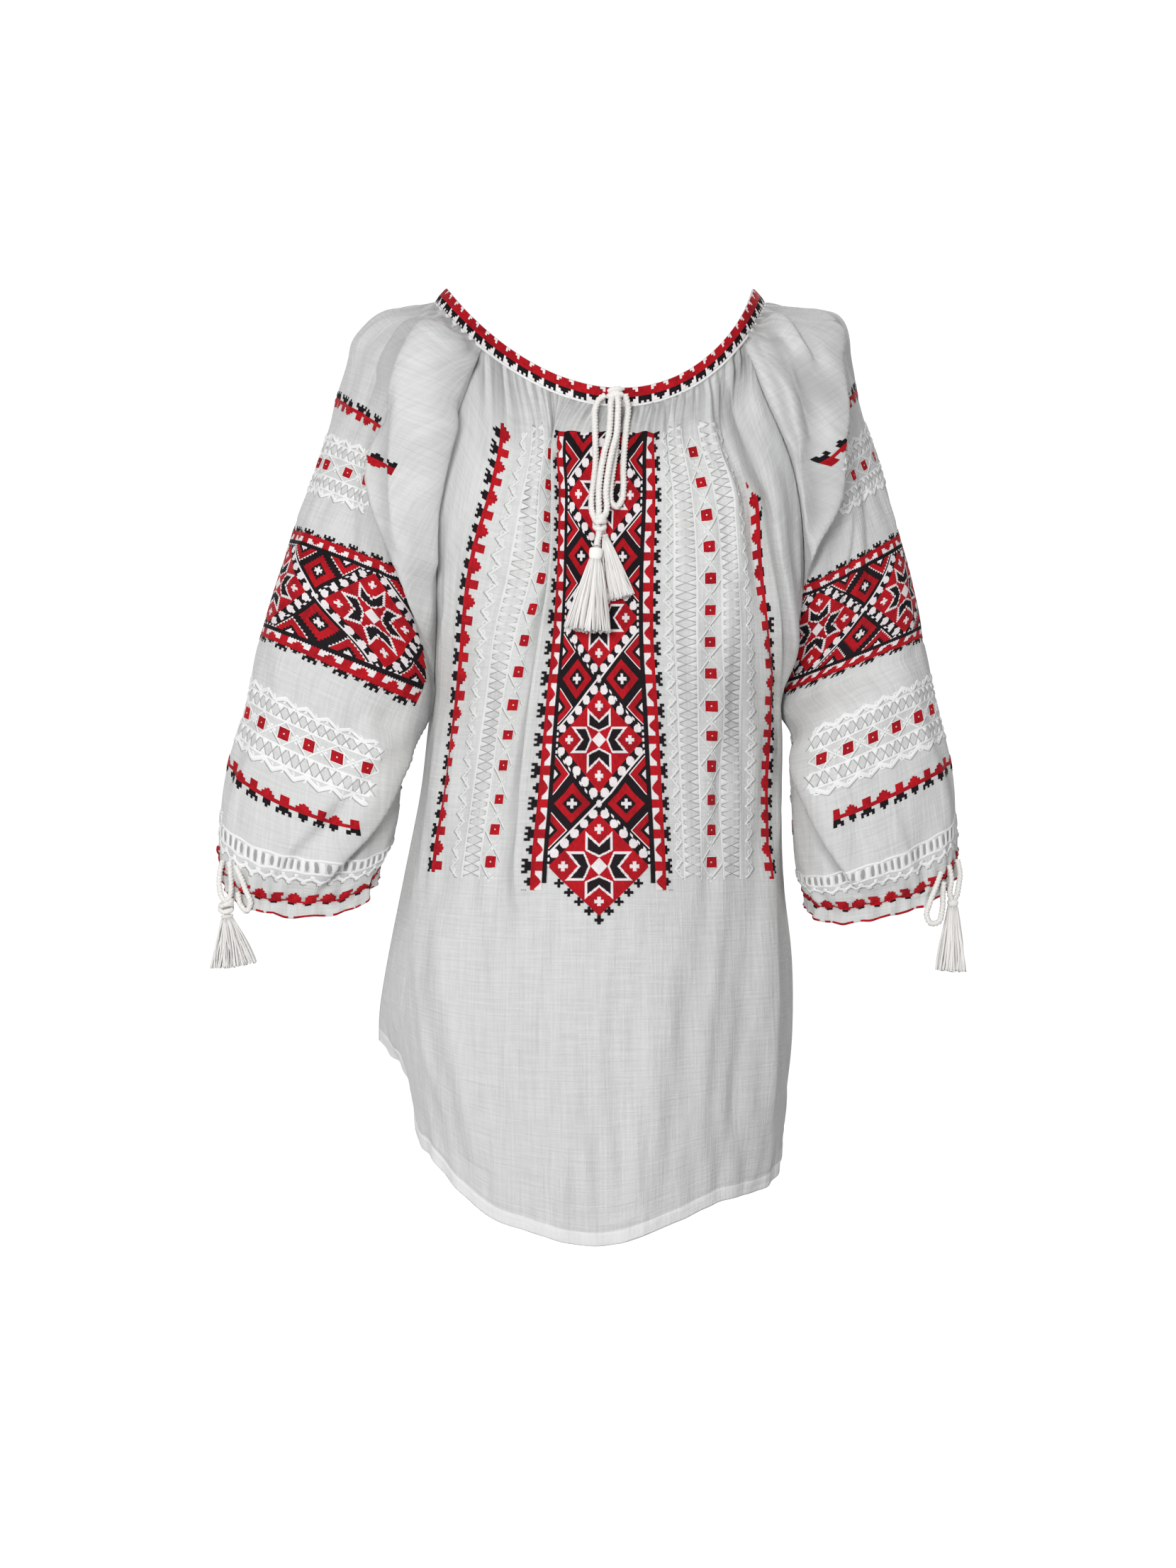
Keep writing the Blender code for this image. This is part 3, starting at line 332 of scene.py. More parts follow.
CREASES_LEFT_SLEEVE = [
    (-58, 16, -74, 64, -77, 122, -5.0, 4.0, 9.0, 0.0),
    (-40, 24, -52, 80, -50, 150, -3.2, 3.0, 8.0, 0.0),
    (-62, 30, -72, 70, -80, 112, 3.2, 6.0, 3.4, 0.0),
    (-78, 20, -96, 76, -104, 128, -3.0, 6.0, 3.0, 0.0),
    (-24, 16, -26, 60, -18, 110, 2.2, 5.0, 4.0, 0.0),
    (-6, 14, -4, 50, 4, 92, -2.0, 5.0, 4.0, 0.0),
    (18, 18, 24, 60, 30, 118, 2.4, 6.0, 4.0, 0.0),
    (-122, 150, -132, 210, -148, 270, 3.0, 5.0, 8.0, 0.0),
    (-100, 196, -118, 250, -138, 300, -4.0, 3.0, 7.0, 0.0),
    (-30, 130, -36, 210, -56, 300, 2.2, 10.0, 8.0, 0.0),
    (0, 210, -6, 280, -20, 350, -1.8, 8.0, 8.0, 0.0),
    (-110, 330, -106, 360, -84, 410, -2.8, 4.0, 8.0, 0.0),
    (-146, 356, -120, 410, -96, 468, 3.2, 6.0, 9.0, 0.0),
    (-60, 330, -40, 400, -16, 468, 2.6, 8.0, 6.0, 0.0),
    (-28, 400, -14, 440, -2, 480, -2.4, 6.0, 4.0, 0.0),
    (-76, 420, -70, 450, -58, 482, -2.4, 3.0, 6.0, 0.0),
    (20, 380, 28, 430, 30, 480, 2.4, 7.0, 5.0, 0.0),
    (60, 120, 70, 200, 84, 290, -3.0, 6.0, 9.0, 0.0),
    (120, 180, 130, 240, 150, 310, -3.0, 6.0, 8.0, 0.0),
    (100, 330, 108, 400, 100, 470, 3.0, 8.0, 6.0, 0.0),
    (140, 350, 132, 410, 138, 470, -2.6, 6.0, 7.0, 0.0),
]
CREASES_RIGHT_SLEEVE = [
    (-82, 20, -95, 78, -116, 132, -5.5, 3.2, 5.5, 0.0),
    (-38, 20, -48, 80, -54, 150, -3.0, 3.0, 8.0, 0.0),
    (-60, 24, -74, 70, -84, 116, 3.2, 3.4, 6.0, 0.0),
    (-82, 18, -98, 70, -106, 140, -3.2, 6.0, 3.0, 0.0),
    (-20, 14, -22, 60, -14, 110, 2.4, 5.0, 4.0, 0.0),
    (0, 14, 4, 50, 8, 96, -2.2, 5.0, 4.0, 0.0),
    (24, 18, 28, 60, 36, 118, 2.4, 6.0, 4.0, 0.0),
    (-124, 130, -134, 200, -150, 270, 3.2, 4.0, 8.0, 0.0),
    (-96, 190, -116, 250, -136, 310, -4.0, 3.0, 7.0, 0.0),
    (-34, 140, -40, 220, -56, 300, 2.0, 10.0, 8.0, 0.0),
    (-4, 200, -8, 280, -16, 350, -1.8, 8.0, 8.0, 0.0),
    (-114, 350, -104, 390, -88, 440, -2.6, 4.0, 8.0, 0.0),
    (-140, 370, -118, 420, -104, 470, 3.0, 6.0, 9.0, 0.0),
    (-52, 340, -38, 400, -24, 468, 2.4, 8.0, 6.0, 0.0),
    (-24, 400, -12, 440, -4, 480, -2.4, 6.0, 4.0, 0.0),
    (-72, 410, -66, 450, -58, 482, -2.2, 3.0, 6.0, 0.0),
    (18, 380, 26, 430, 26, 480, 2.4, 7.0, 5.0, 0.0),
    (62, 120, 70, 200, 82, 290, -3.0, 6.0, 9.0, 0.0),
    (122, 180, 130, 240, 148, 320, -3.0, 6.0, 8.0, 0.0),
    (98, 350, 106, 410, 98, 470, 3.0, 8.0, 6.0, 0.0),
    (138, 360, 130, 420, 136, 474, -2.6, 6.0, 7.0, 0.0),
]

CORD_NECK, CORD_CUFF = 4.4, 4.0
NECK_CORDS = {
    "neck_cord_a": [(4.0, -112.5, -87.0), (-0.5, -112.0, -90.0), (-3.5, -112.5, -96.0), (-4.0, -116.0, -107.0),
                    (-3.5, -120.5, -123.5), (-3.5, -124.5, -140.5), (-5.0, -128.0, -154.0),
                    (-6.5, -131.0, -166.5), (-6.0, -133.5, -175.5), (-2.6, -136.0, -184.0),
                    (-1.0, -138.5, -192.0), (-2.0, -140.5, -197.0), (-2.8, -142.5, -201.5)],
    "neck_cord_b": [(8.0, -116.5, -92.0), (7.5, -119.5, -102.0), (6.5, -124.0, -117.0), (3.0, -128.0, -131.0),
                    (0.5, -131.0, -144.5), (-1.2, -133.5, -160.5), (-1.0, -135.0, -176.0)],
    "neck_cord_c": [(13.2, -116.5, -92.0), (13.0, -119.5, -102.0), (12.0, -124.0, -117.0), (8.5, -128.0, -131.0),
                    (6.0, -131.0, -144.5), (4.2, -134.0, -160.5), (4.2, -135.5, -176.0)],
    "neck_loop": [(18.5, -112.5, -86.5), (20.5, -114.0, -96.0), (19.5, -116.5, -109.5), (18.0, -120.5, -126.0),
                  (17.0, -125.0, -144.5), (17.0, -128.5, -158.0), (15.5, -130.0, -167.0), (11.5, -131.0, -171.5),
                  (8.2, -130.5, -168.0), (7.5, -129.0, -160.0), (8.8, -125.8, -147.5), (11.0, -121.5, -131.5),
                  (12.5, -117.5, -115.0), (13.0, -114.0, -101.0)],
}
CUFF_CORDS = {
    "cuff_cord_right": [(-286.5, -54.0, -434.0), (-288.5, -57.0, -443.5), (-288.5, -59.5, -453.5), (-286.5, -61.5, -461.0),
                        (-283.5, -63.0, -464.5), (-280.4, -62.5, -461.0), (-279.4, -62.5, -452.0), (-279.8, -62.0, -443.5),
                        (-281.0, -60.5, -434.5)],
    "cuff_loop_right": [(-275.5, -65.5, -438.0), (-271.5, -69.5, -446.0), (-267.5, -70.5, -456.0), (-264.0, -71.0, -466.0),
                        (-266.5, -70.0, -471.5), (-271.5, -68.0, -467.0), (-273.8, -67.0, -457.5)],
    "cuff_cord_left": [(272.0, -50.0, -433.5), (273.5, -54.0, -444.0), (272.0, -56.5, -454.0), (270.0, -57.5, -461.5),
                       (267.4, -59.0, -464.0), (265.4, -60.5, -460.5), (266.2, -61.0, -447.5), (264.6, -60.0, -437.0)],
    "cuff_loop_left": [(258.0, -65.5, -442.5), (253.5, -68.8, -454.0), (248.5, -71.0, -466.5), (246.5, -70.5, -474.5),
                       (250.0, -70.0, -481.0), (255.5, -69.0, -480.0), (258.5, -67.5, -471.5), (259.3, -65.5, -459.5),
                       (260.0, -65.0, -449.5)],
}
CORD_NODES = {"neck_cord_a": ("neck_cord_a", "neck_stem"), "cuff_cord_right": ("cuff_cord_right", "cuff_end_right"), "cuff_cord_left": ("cuff_cord_left", "cuff_end_left")}
KNOTS = {   # centre, radius, height
    "neck_bow": ((11.0, -112.0, -84.0), 4.6, 8.0),
    "neck_knot": ((-0.5, -136.5, -183.8), 5.2, 14.0),
    "cuff_knot_right": ((-283.0, -64.0, -468.0), 6.0, 11.0),
}
TASSELS = {  # top, bottom, width at the bottom, depth share, head radius and length, width under the head
    "neck_tassel_a": ((-3.0, -143.5, -202.2), (-9.5, -153.5, -264.0), 38.0, 0.28, 5.2, 11.0, 9.5),
    "neck_tassel_b": ((3.0, -137.0, -192.2), (15.5, -142.0, -239.0), 21.0, 0.32, 2.6, 3.0, 4.5),
    "cuff_tassel_right": ((-282.5, -63.5, -474.2), (-277.5, -63.5, -514.0), 40.0, 0.36, 5.0, 4.0, 10.0),
    "cuff_tassel_left": ((267.6, -58.5, -463.4), (266.0, -59.0, -517.5), 25.0, 0.48, 4.4, 6.0, 8.4),
}

# embroidery: millimetres
CELL_ACROSS, CELL_DOWN = 2.05, 2.08          # front panel
STAR_TOP = 162.0                             # centre of the first star, down from the shoulder tips
SQUARES_AT = 85.0
LADDER_IN, LADDER_OUT, VINE_AT, LINE_AT = 70.0, 100.0, 114.0, 132.0
SLEEVE_CELL_ALONG, SLEEVE_CELL_DOWN = 1.8, 1.74
SLEEVE_BAND = 272.75                         # middle of the main band, down the top line
CUFF_LINE, CUFF_LACE = 486.0, 458.0


# ---------------------------------------------------------------- curves and surfaces
def spline(knots, values, at):
    knots, values = np.asarray(knots, float), np.asarray(values, float)
    flat = values.reshape(len(knots), -1)
    step = np.diff(knots)
    slope = np.diff(flat, axis=0) / step[:, None]
    tangent = np.empty_like(flat)
    tangent[1:-1] = (slope[:-1] * step[1:, None] + slope[1:] * step[:-1, None]) / (step[:-1] + step[1:])[:, None]
    tangent[0], tangent[-1] = slope[0], slope[-1]
    at = np.clip(np.asarray(at, float), knots[0], knots[-1])
    cell = np.clip(np.searchsorted(knots, at, side="right") - 1, 0, len(step) - 1)
    h = step[cell][:, None]
    s = ((at - knots[cell]) / step[cell])[:, None]
    out = ((2 * s**3 - 3 * s**2 + 1) * flat[cell] + (s**3 - 2 * s**2 + s) * h * tangent[cell]
           + (-2 * s**3 + 3 * s**2) * flat[cell + 1] + (s**3 - s**2) * h * tangent[cell + 1])
    return out.reshape((len(at),) + values.shape[1:])


def column(table, index, at):
    return spline([row[0] for row in table], [[row[index]] for row in table], at)[:, 0]


def neck_ring(angle):
    a = np.radians(np.asarray(angle, float))
    s, c = np.sin(a), np.cos(a)
    front = c > 0
    x = NECK_HALF * s + NECK_SKEW * c * c
    y = -np.where(front, NECK_FRONT, NECK_BACK) * c
    z = NECK_TIP - np.where(front, DIP_FRONT, DIP_BACK) * np.abs(c) ** DIP_POWER
    z = z - DIP_SKEW * np.sin(2 * a) * np.where(front, 1.0, -1.0)
    return np.stack([x, y, z], -1)


def raglan(name, v):
    knots = [0.0] + [row[0] for row in RAGLAN[name]]
    points = [tuple(neck_ring([RAGLAN_AT[name]])[0])] + [row[1:] for row in RAGLAN[name]]
    return spline(knots, points, v)


def side_seam(name, v):
    return spline([row[0] for row in SIDE[name]], [row[1:] for row in SIDE[name]], v)


def body_edge(side, face, v):
    v = np.asarray(v, float)
    upper, lower = raglan(face + "_" + side, np.clip(v, 0, 1)), side_seam(side, np.clip(v, 1, 2))
    return np.where((v <= 1)[:, None], upper, lower)


def body_row(face, v, z_centre, y_centre, xs, hem):
    left, right = body_edge("left", face, [v])[0], body_edge("right", face, [v])[0]
    middle = 0.5 * (left[0] + right[0])
    rounded = float(np.clip((v - 0.45) / 0.6, 0, 1)) ** 1.5
    power = 2.0 + 0.3 * (1 - rounded)
    points = []
    for i, x in enumerate(xs):
        edge = left if x < middle else right
        share = min(1.0, abs((x - middle) / (edge[0] - middle)))
        bulge = (1 - share ** power) ** (1.0 / (1.0 + rounded * (BODY_ROUND - 1.0)))
        y = edge[1] + (y_centre - edge[1]) * bulge
        z = hem[i] if hem is not None else z_centre + (edge[2] - z_centre) * share ** 3 * (0.5 if v < 1 else 0.25)
        points.append((x, y, z))
    return [tuple(left)] + points + [tuple(right)]


def body_net(face):
    rows, hems, neck, at = ((FRONT_ROWS, FRONT_HEM, FRONT_NECK, FRONT_AT) if face == "front"
                            else (BACK_ROWS, BACK_HEM, BACK_NECK, BACK_AT))
    sides = [RAGLAN_AT[face + "_left"], RAGLAN_AT[face + "_right"]]
    if face == "back":
        sides[1] -= 360.0
    ring = neck_ring([sides[0]] + list(neck) + [sides[1]])
    net = [[tuple(p) for p in ring]]
    for v, z, y, xs in rows:
        net.append(body_row(face, v, z, y, xs, hems.get(v)))
    return [0.0] + [row[0] for row in rows], at, np.array(net)


def half_width(v):
    return np.interp(v, [row[0] for row in FRONT_HALF], [row[1] for row in FRONT_HALF])


def body_surface(face, u, v):
    rows, at, net = body_net(face)
    down = spline(rows, net, v)
    out = np.empty((len(v), len(u), 3))
    for j, vj in enumerate(v):
        half = float(half_width(vj))
        knots = [-half] + list(at) + [half]
        out[j] = spline(knots, down[j], np.asarray(u) * half)
    left, right = body_edge("left", face, v), body_edge("right", face, v)
    w = ((np.asarray(u) + 1) / 2)[None, :, None]
    out += (1 - w) ** 9 * (left - out[:, 0])[:, None] + w ** 9 * (right - out[:, -1])[:, None]
    return out


def sleeve_table(side):
    return SLEEVE_LEFT_SIDE if side == "left" else SLEEVE_RIGHT_SIDE


def sleeve_edges(side, t):
    table = [(0.0, 0, 0, 0, 0.0) + (0,) * 5] + sleeve_table(side)
    under = [row for row in table if row[4] >= 1.0]
    v = np.clip(column([(r[0], r[4]) for r in table], 1, t), 0, 2)
    corner = raglan("front_" + side, [1.0])[0]
    away = 0.02 if side == "right" else -0.02
    inner_t = [under[0][0]] + [row[0] for row in under[1:]]
    inner = spline(inner_t, [tuple(corner + np.array([away, 0, 0]))] + [row[5:8] for row in under[1:]], np.clip(t, inner_t[0], None))
    stand = (np.clip((v - 0.42) / 0.58, 0, 1) ** 1.3)[:, None] * np.array([away, 0, 0])
    front, back = raglan("front_" + side, np.clip(v, 0, 1)) + stand, raglan("back_" + side, np.clip(v, 0, 1)) + stand
    tube = (np.asarray(t) >= inner_t[0])[:, None]
    return np.where(tube, inner, front), np.where(tube, inner, back), v


def sleeve_row(side, row, q):
    t, x, y, z, v, _, _, _, depth, droop = row
    front, back, _ = sleeve_edges(side, np.array([t], float))
    front, back, top = front[0], back[0], np.array([x, y, z], float)
    middle = 0.5 * (front + back)
    reach = np.linalg.norm(front - back) / 2
    low = -np.arccos(min(1.0, reach / depth))
    up = (top - middle) / (1 - np.sin(low))
    centre = top - up
    ahead = (front - back) / (2 * np.cos(low)) if reach > 12 else np.array([0.0, -depth, 0.0])
    if reach > 12 and reach < depth:
        share = reach / depth
        ahead = share * ahead + (1 - share) * np.array([0.0, -depth, 0.0])
    angle = np.linspace(low, np.pi - low, 361)
    s, c = np.sin(angle), np.cos(angle)
    power = 2.0 / np.interp(t, SLEEVE_ROUND[0], SLEEVE_ROUND[1])
    s, c = np.sign(s) * np.abs(s) ** power, np.sign(c) * np.abs(c) ** power
    points = centre + up * s[:, None] + ahead * c[:, None]
    points[:, 2] -= droop * np.clip(c, 0, 1) ** 1.4
    w = np.linspace(0, 1, 361)[:, None]
    points += (1 - w) ** 2 * (front - points[0]) + w ** 2 * (back - points[-1])
    halves = []
    for part, share in ((points[:181], np.clip(q + 1, 0, 1)), (points[180:], np.clip(q, 0, 1))):
        length = np.concatenate([[0], np.cumsum(np.linalg.norm(np.diff(part, axis=0), axis=1))])
        halves.append(np.stack([np.interp(share * length[-1], length, part[:, k]) for k in range(3)], -1))
    return np.where((q < 0)[:, None], halves[0], halves[1])


def sleeve_surface(side, q, t):
    q, t = np.asarray(q, float), np.asarray(t, float)
    table = sleeve_table(side)
    turn = -1.0 if side == "left" else 1.0
    first, last = RAGLAN_AT["front_" + side], RAGLAN_AT["back_" + side]
    angles = np.where(q < 0, 90 * turn + (first - 90 * turn) * -q, 90 * turn + (last - 90 * turn) * q)
    net = [neck_ring(angles)] + [sleeve_row(side, row, q) for row in table]
    out = spline([0.0] + [row[0] for row in table], np.array(net), t)
    front, back, _ = sleeve_edges(side, t)
    w = ((q + 1) / 2)[None, :, None]
    out += (1 - w) ** 8 * (front - out[:, 0])[:, None] + w ** 8 * (back - out[:, -1])[:, None]
    return out


def unit(v):
    return v / np.maximum(np.linalg.norm(v, axis=-1, keepdims=True), 1e-9)


def normals_of(points):
    return unit(np.cross(np.gradient(points, axis=1), np.gradient(points, axis=0)))


def path_at(row, down):
    """Across position of a crease at each down, its run from 0 to 1, and how far past its ends."""
    a0, d0, a1, d1, a2, d2 = row[:6]
    s = np.linspace(0, 1, 60)[:, None]
    mid = 2 * np.array([a1, d1]) - 0.5 * np.array([a0, d0]) - 0.5 * np.array([a2, d2])
    path = (1 - s) ** 2 * np.array([a0, d0]) + 2 * s * (1 - s) * mid + s ** 2 * np.array([a2, d2])
    run = (down - path[0, 1]) / (path[-1, 1] - path[0, 1])
    return np.interp(down, path[:, 1], path[:, 0]), run


def crease(points, normal, across, down, table, calm):
    side = unit(np.gradient(points, axis=1))
    lift = np.zeros(across.shape)
    slide = np.zeros(across.shape)
    for row in table:
        height, left, right, lean = row[6:]
        near, run = path_at(row, down)
        off = across - near
        inside = (run > 0) & (run < 1)
        swell = np.where(inside, np.sin(np.pi * np.clip(run, 0, 1)), 0) ** 0.6
        shape = np.exp(-(off / np.where(off < 0, left, right)) ** 2) * swell * calm
        lift += height * shape
        slide += lean * shape
    return points + normal * lift[..., None] + side * slide[..., None]


def tucks(points, normal, across, down, rows, calm, painted_shade_and_strand_tone):
    side = unit(np.gradient(points, axis=1))
    lift = np.zeros(across.shape)
    slide = np.zeros(across.shape)
    for path, height, left, right, lean in rows:
        path = np.array(path, float)
        near = spline(path[:, 1], path[:, :1], down.reshape(-1))[:, 0].reshape(down.shape)
        run = (down - path[0, 1]) / (path[-1, 1] - path[0, 1])
        swell = np.clip(run / 0.14, 0, 1) * np.clip((1 - run) / 0.18, 0, 1)
        swell = swell * swell * (3 - 2 * swell)
        off = across - near
        shape = np.exp(-(off / np.where(off < 0, left, right)) ** 2) * swell * calm
        tip = np.exp(-(off / np.where(off < 0, min(left, 9.0), min(right, 9.0))) ** 2) * swell * calm
        lift += height * shape
        slide += lean * tip
        # under the steep side the cloth dips
        steep = 1.0 if left > right else -1.0
        under = off * steep - min(left, right) * 1.9
        wide = np.where(under < 0, 2.0, 4.5)
        lift -= 0.32 * abs(height) * np.exp(-(under / wide) ** 2) * swell * calm
        # painted shade under the steep side of each tuck, which darkens the cotton colour there
        shade = 15.0 if max(left, right) > 20 else 5.0
        painted_shade_and_strand_tone[...] = np.maximum(painted_shade_and_strand_tone, np.exp(-(np.abs(under + 0.6) / np.where(under < -0.6, 1.6, shade)) ** (2.0 if shade < 9 else 1.2))
                                 * swell * calm * min(1.0, height / 8.0))
    return points + normal * lift[..., None] + side * slide[..., None]


def shades(name, across, down, painted_shade_and_strand_tone):
    # painted shade along each path, which darkens the cotton colour there
    for path, left, right, strength in SHADES.get(name, ()):
        path = np.array(path, float)
        near = spline(path[:, 1], path[:, :1], down.reshape(-1))[:, 0].reshape(down.shape)
        run = np.clip((down - path[0, 1]) / (path[-1, 1] - path[0, 1]), 0, 1)
        swell = np.sin(np.pi * run) ** 0.7
        off = across - near
        painted_shade_and_strand_tone[...] = np.maximum(painted_shade_and_strand_tone, strength * np.exp(-(off / np.where(off < 0, left, right)) ** 2) * swell)


def gathers(points, normal, across, down, start, places, calm, way=1.0):
    """Short creases that fan out from a gathered seam: narrow dark troughs, soft rises between."""
    lift = np.zeros(across.shape)
    from_seam = (down - start) * way
    held = 0.2 + 0.8 * np.clip(from_seam / 6.0, 0, 1) if way > 0 else 1.0
    for at, long, deep, drift in places:
        x = np.clip(from_seam / long, 0, 1)
        off = across - (at + drift * x)
        width = 2.1 + 3.4 * x
        fade = (1 - x) ** 0.8 * (from_seam >= -0.01)
        steep = np.where(off < 0, width * 0.7, width * 1.5) if long > 36 else np.where(off < 0, width * 1.4, width * 0.7)
        lift -= deep * np.exp(-np.sqrt(off * off + 0.16) / steep) * fade
        lift += 0.5 * deep * np.exp(-((np.abs(off) - width * 2.4) / (width * 1.3)) ** 2) * fade
    return points + normal * (lift * calm * held)[..., None]


def ripple(across, down, seed, high, wide, long):
    """Smooth uneven undulation, longer down the cloth than across it."""
    rng = np.random.default_rng(seed)
    out = np.zeros(across.shape)
    for k in range(14):
        fa = rng.uniform(0.5, 1.6) / wide
        fd = rng.uniform(0.3, 1.4) / long * (1 if rng.random() < 0.5 else -1)
        out += np.sin(2 * np.pi * (across * fa + down * fd) + rng.uniform(0, 2 * np.pi)) * rng.uniform(0.4, 1.0)
    return out / 3.6 * high


def spread(first, last, step, seed, shortest, longest, deep, drift=4.0):
    """Places of gathers from first to last: uneven spacing, length, depth and drift."""
    rng = np.random.default_rng(seed)
    at, out = first, []
    while at < last:
        long = shortest + (longest - shortest) * rng.random() ** 1.5
        out.append((at, long, deep * rng.uniform(0.6, 1.15), rng.uniform(-drift, drift) + 0.04 * at))
        at += step * rng.uniform(0.7, 1.35)
    return out


# ---------------------------------------------------------------- meshes and materials
group = bpy.data.collections.new("peasant_blouse_look")
bpy.context.scene.collection.children.link(group)


def mesh_object(name, points, faces, mat, smooth=True, cloth=None, seam=None, painted_shade_and_strand_tone=None):
    """Points in millimetres; faces is one array or several, each with one number of corners."""
    faces = faces if isinstance(faces, list) else [faces]
    faces = [np.asarray(f, np.int32) for f in faces if len(f)]
    mesh = bpy.data.meshes.new(name)
    points = np.asarray(points, np.float64).reshape(-1, 3) * MM
    corners = np.concatenate([f.reshape(-1) for f in faces])
    sizes = np.concatenate([np.full(len(f), f.shape[1], np.int32) for f in faces])
    starts = np.concatenate([[0], np.cumsum(sizes)[:-1]]).astype(np.int32)
    mesh.vertices.add(len(points))
    mesh.vertices.foreach_set("co", points.astype(np.float32).reshape(-1))
    mesh.loops.add(len(corners))
    mesh.loops.foreach_set("vertex_index", corners)
    mesh.polygons.add(len(sizes))
    mesh.polygons.foreach_set("loop_start", starts)
    mesh.update(calc_edges=True)
    mesh.validate()
    if smooth:
        mesh.shade_smooth()
    else:
        mesh.shade_flat()
    if cloth is not None:
        layer = mesh.attributes.new("cloth", "FLOAT_VECTOR", "POINT")
        layer.data.foreach_set("vector", np.asarray(cloth, np.float32).reshape(-1))
    for word, values in (("seam", seam), ("painted_shade_and_strand_tone", painted_shade_and_strand_tone)):
        if values is not None:
            layer = mesh.attributes.new(word, "FLOAT", "POINT")
            layer.data.foreach_set("value", np.asarray(values, np.float32).reshape(-1))
    mesh.materials.append(mat)
    obj = bpy.data.objects.new(name + "_look", mesh)
    group.objects.link(obj)
    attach(obj, "root")
    return obj


def node(tree, kind, **values):
    made = tree.nodes.new(kind)
    for key, value in values.items():
        setattr(made, key, value)
    return made


def scaled_noise(tree, vector, scale, detail=2.0, rough=0.5):
    mul = node(tree, "ShaderNodeVectorMath", operation="MULTIPLY")
    tree.links.new(vector, mul.inputs[0])
    mul.inputs[1].default_value = scale
    noise = node(tree, "ShaderNodeTexNoise")
    noise.inputs["Scale"].default_value = 1.0
    noise.inputs["Detail"].default_value = detail
    noise.inputs["Roughness"].default_value = rough
    tree.links.new(mul.outputs["Vector"], noise.inputs["Vector"])
    return noise.outputs["Fac"]


def math_node(tree, operation, a, b, clamp=False):
    made = node(tree, "ShaderNodeMath", operation=operation, use_clamp=clamp)
    for i, value in enumerate((a, b)):
        if isinstance(value, (int, float)):
            made.inputs[i].default_value = value
        else:
            tree.links.new(value, made.inputs[i])
    return made.outputs["Value"]


def plain(name, colour, roughness=0.8, sheen=0.0, emission=0.0):
    m = bpy.data.materials.new(name)
    m.use_nodes = True
    shader = m.node_tree.nodes["Principled BSDF"]
    shader.inputs["Base Color"].default_value = (*colour, 1)
    shader.inputs["Roughness"].default_value = roughness
    shader.inputs["Specular IOR Level"].default_value = 0.15
    shader.inputs["Sheen Weight"].default_value = sheen
    shader.inputs["Emission Color"].default_value = (*colour, 1)
    shader.inputs["Emission Strength"].default_value = emission
    return m


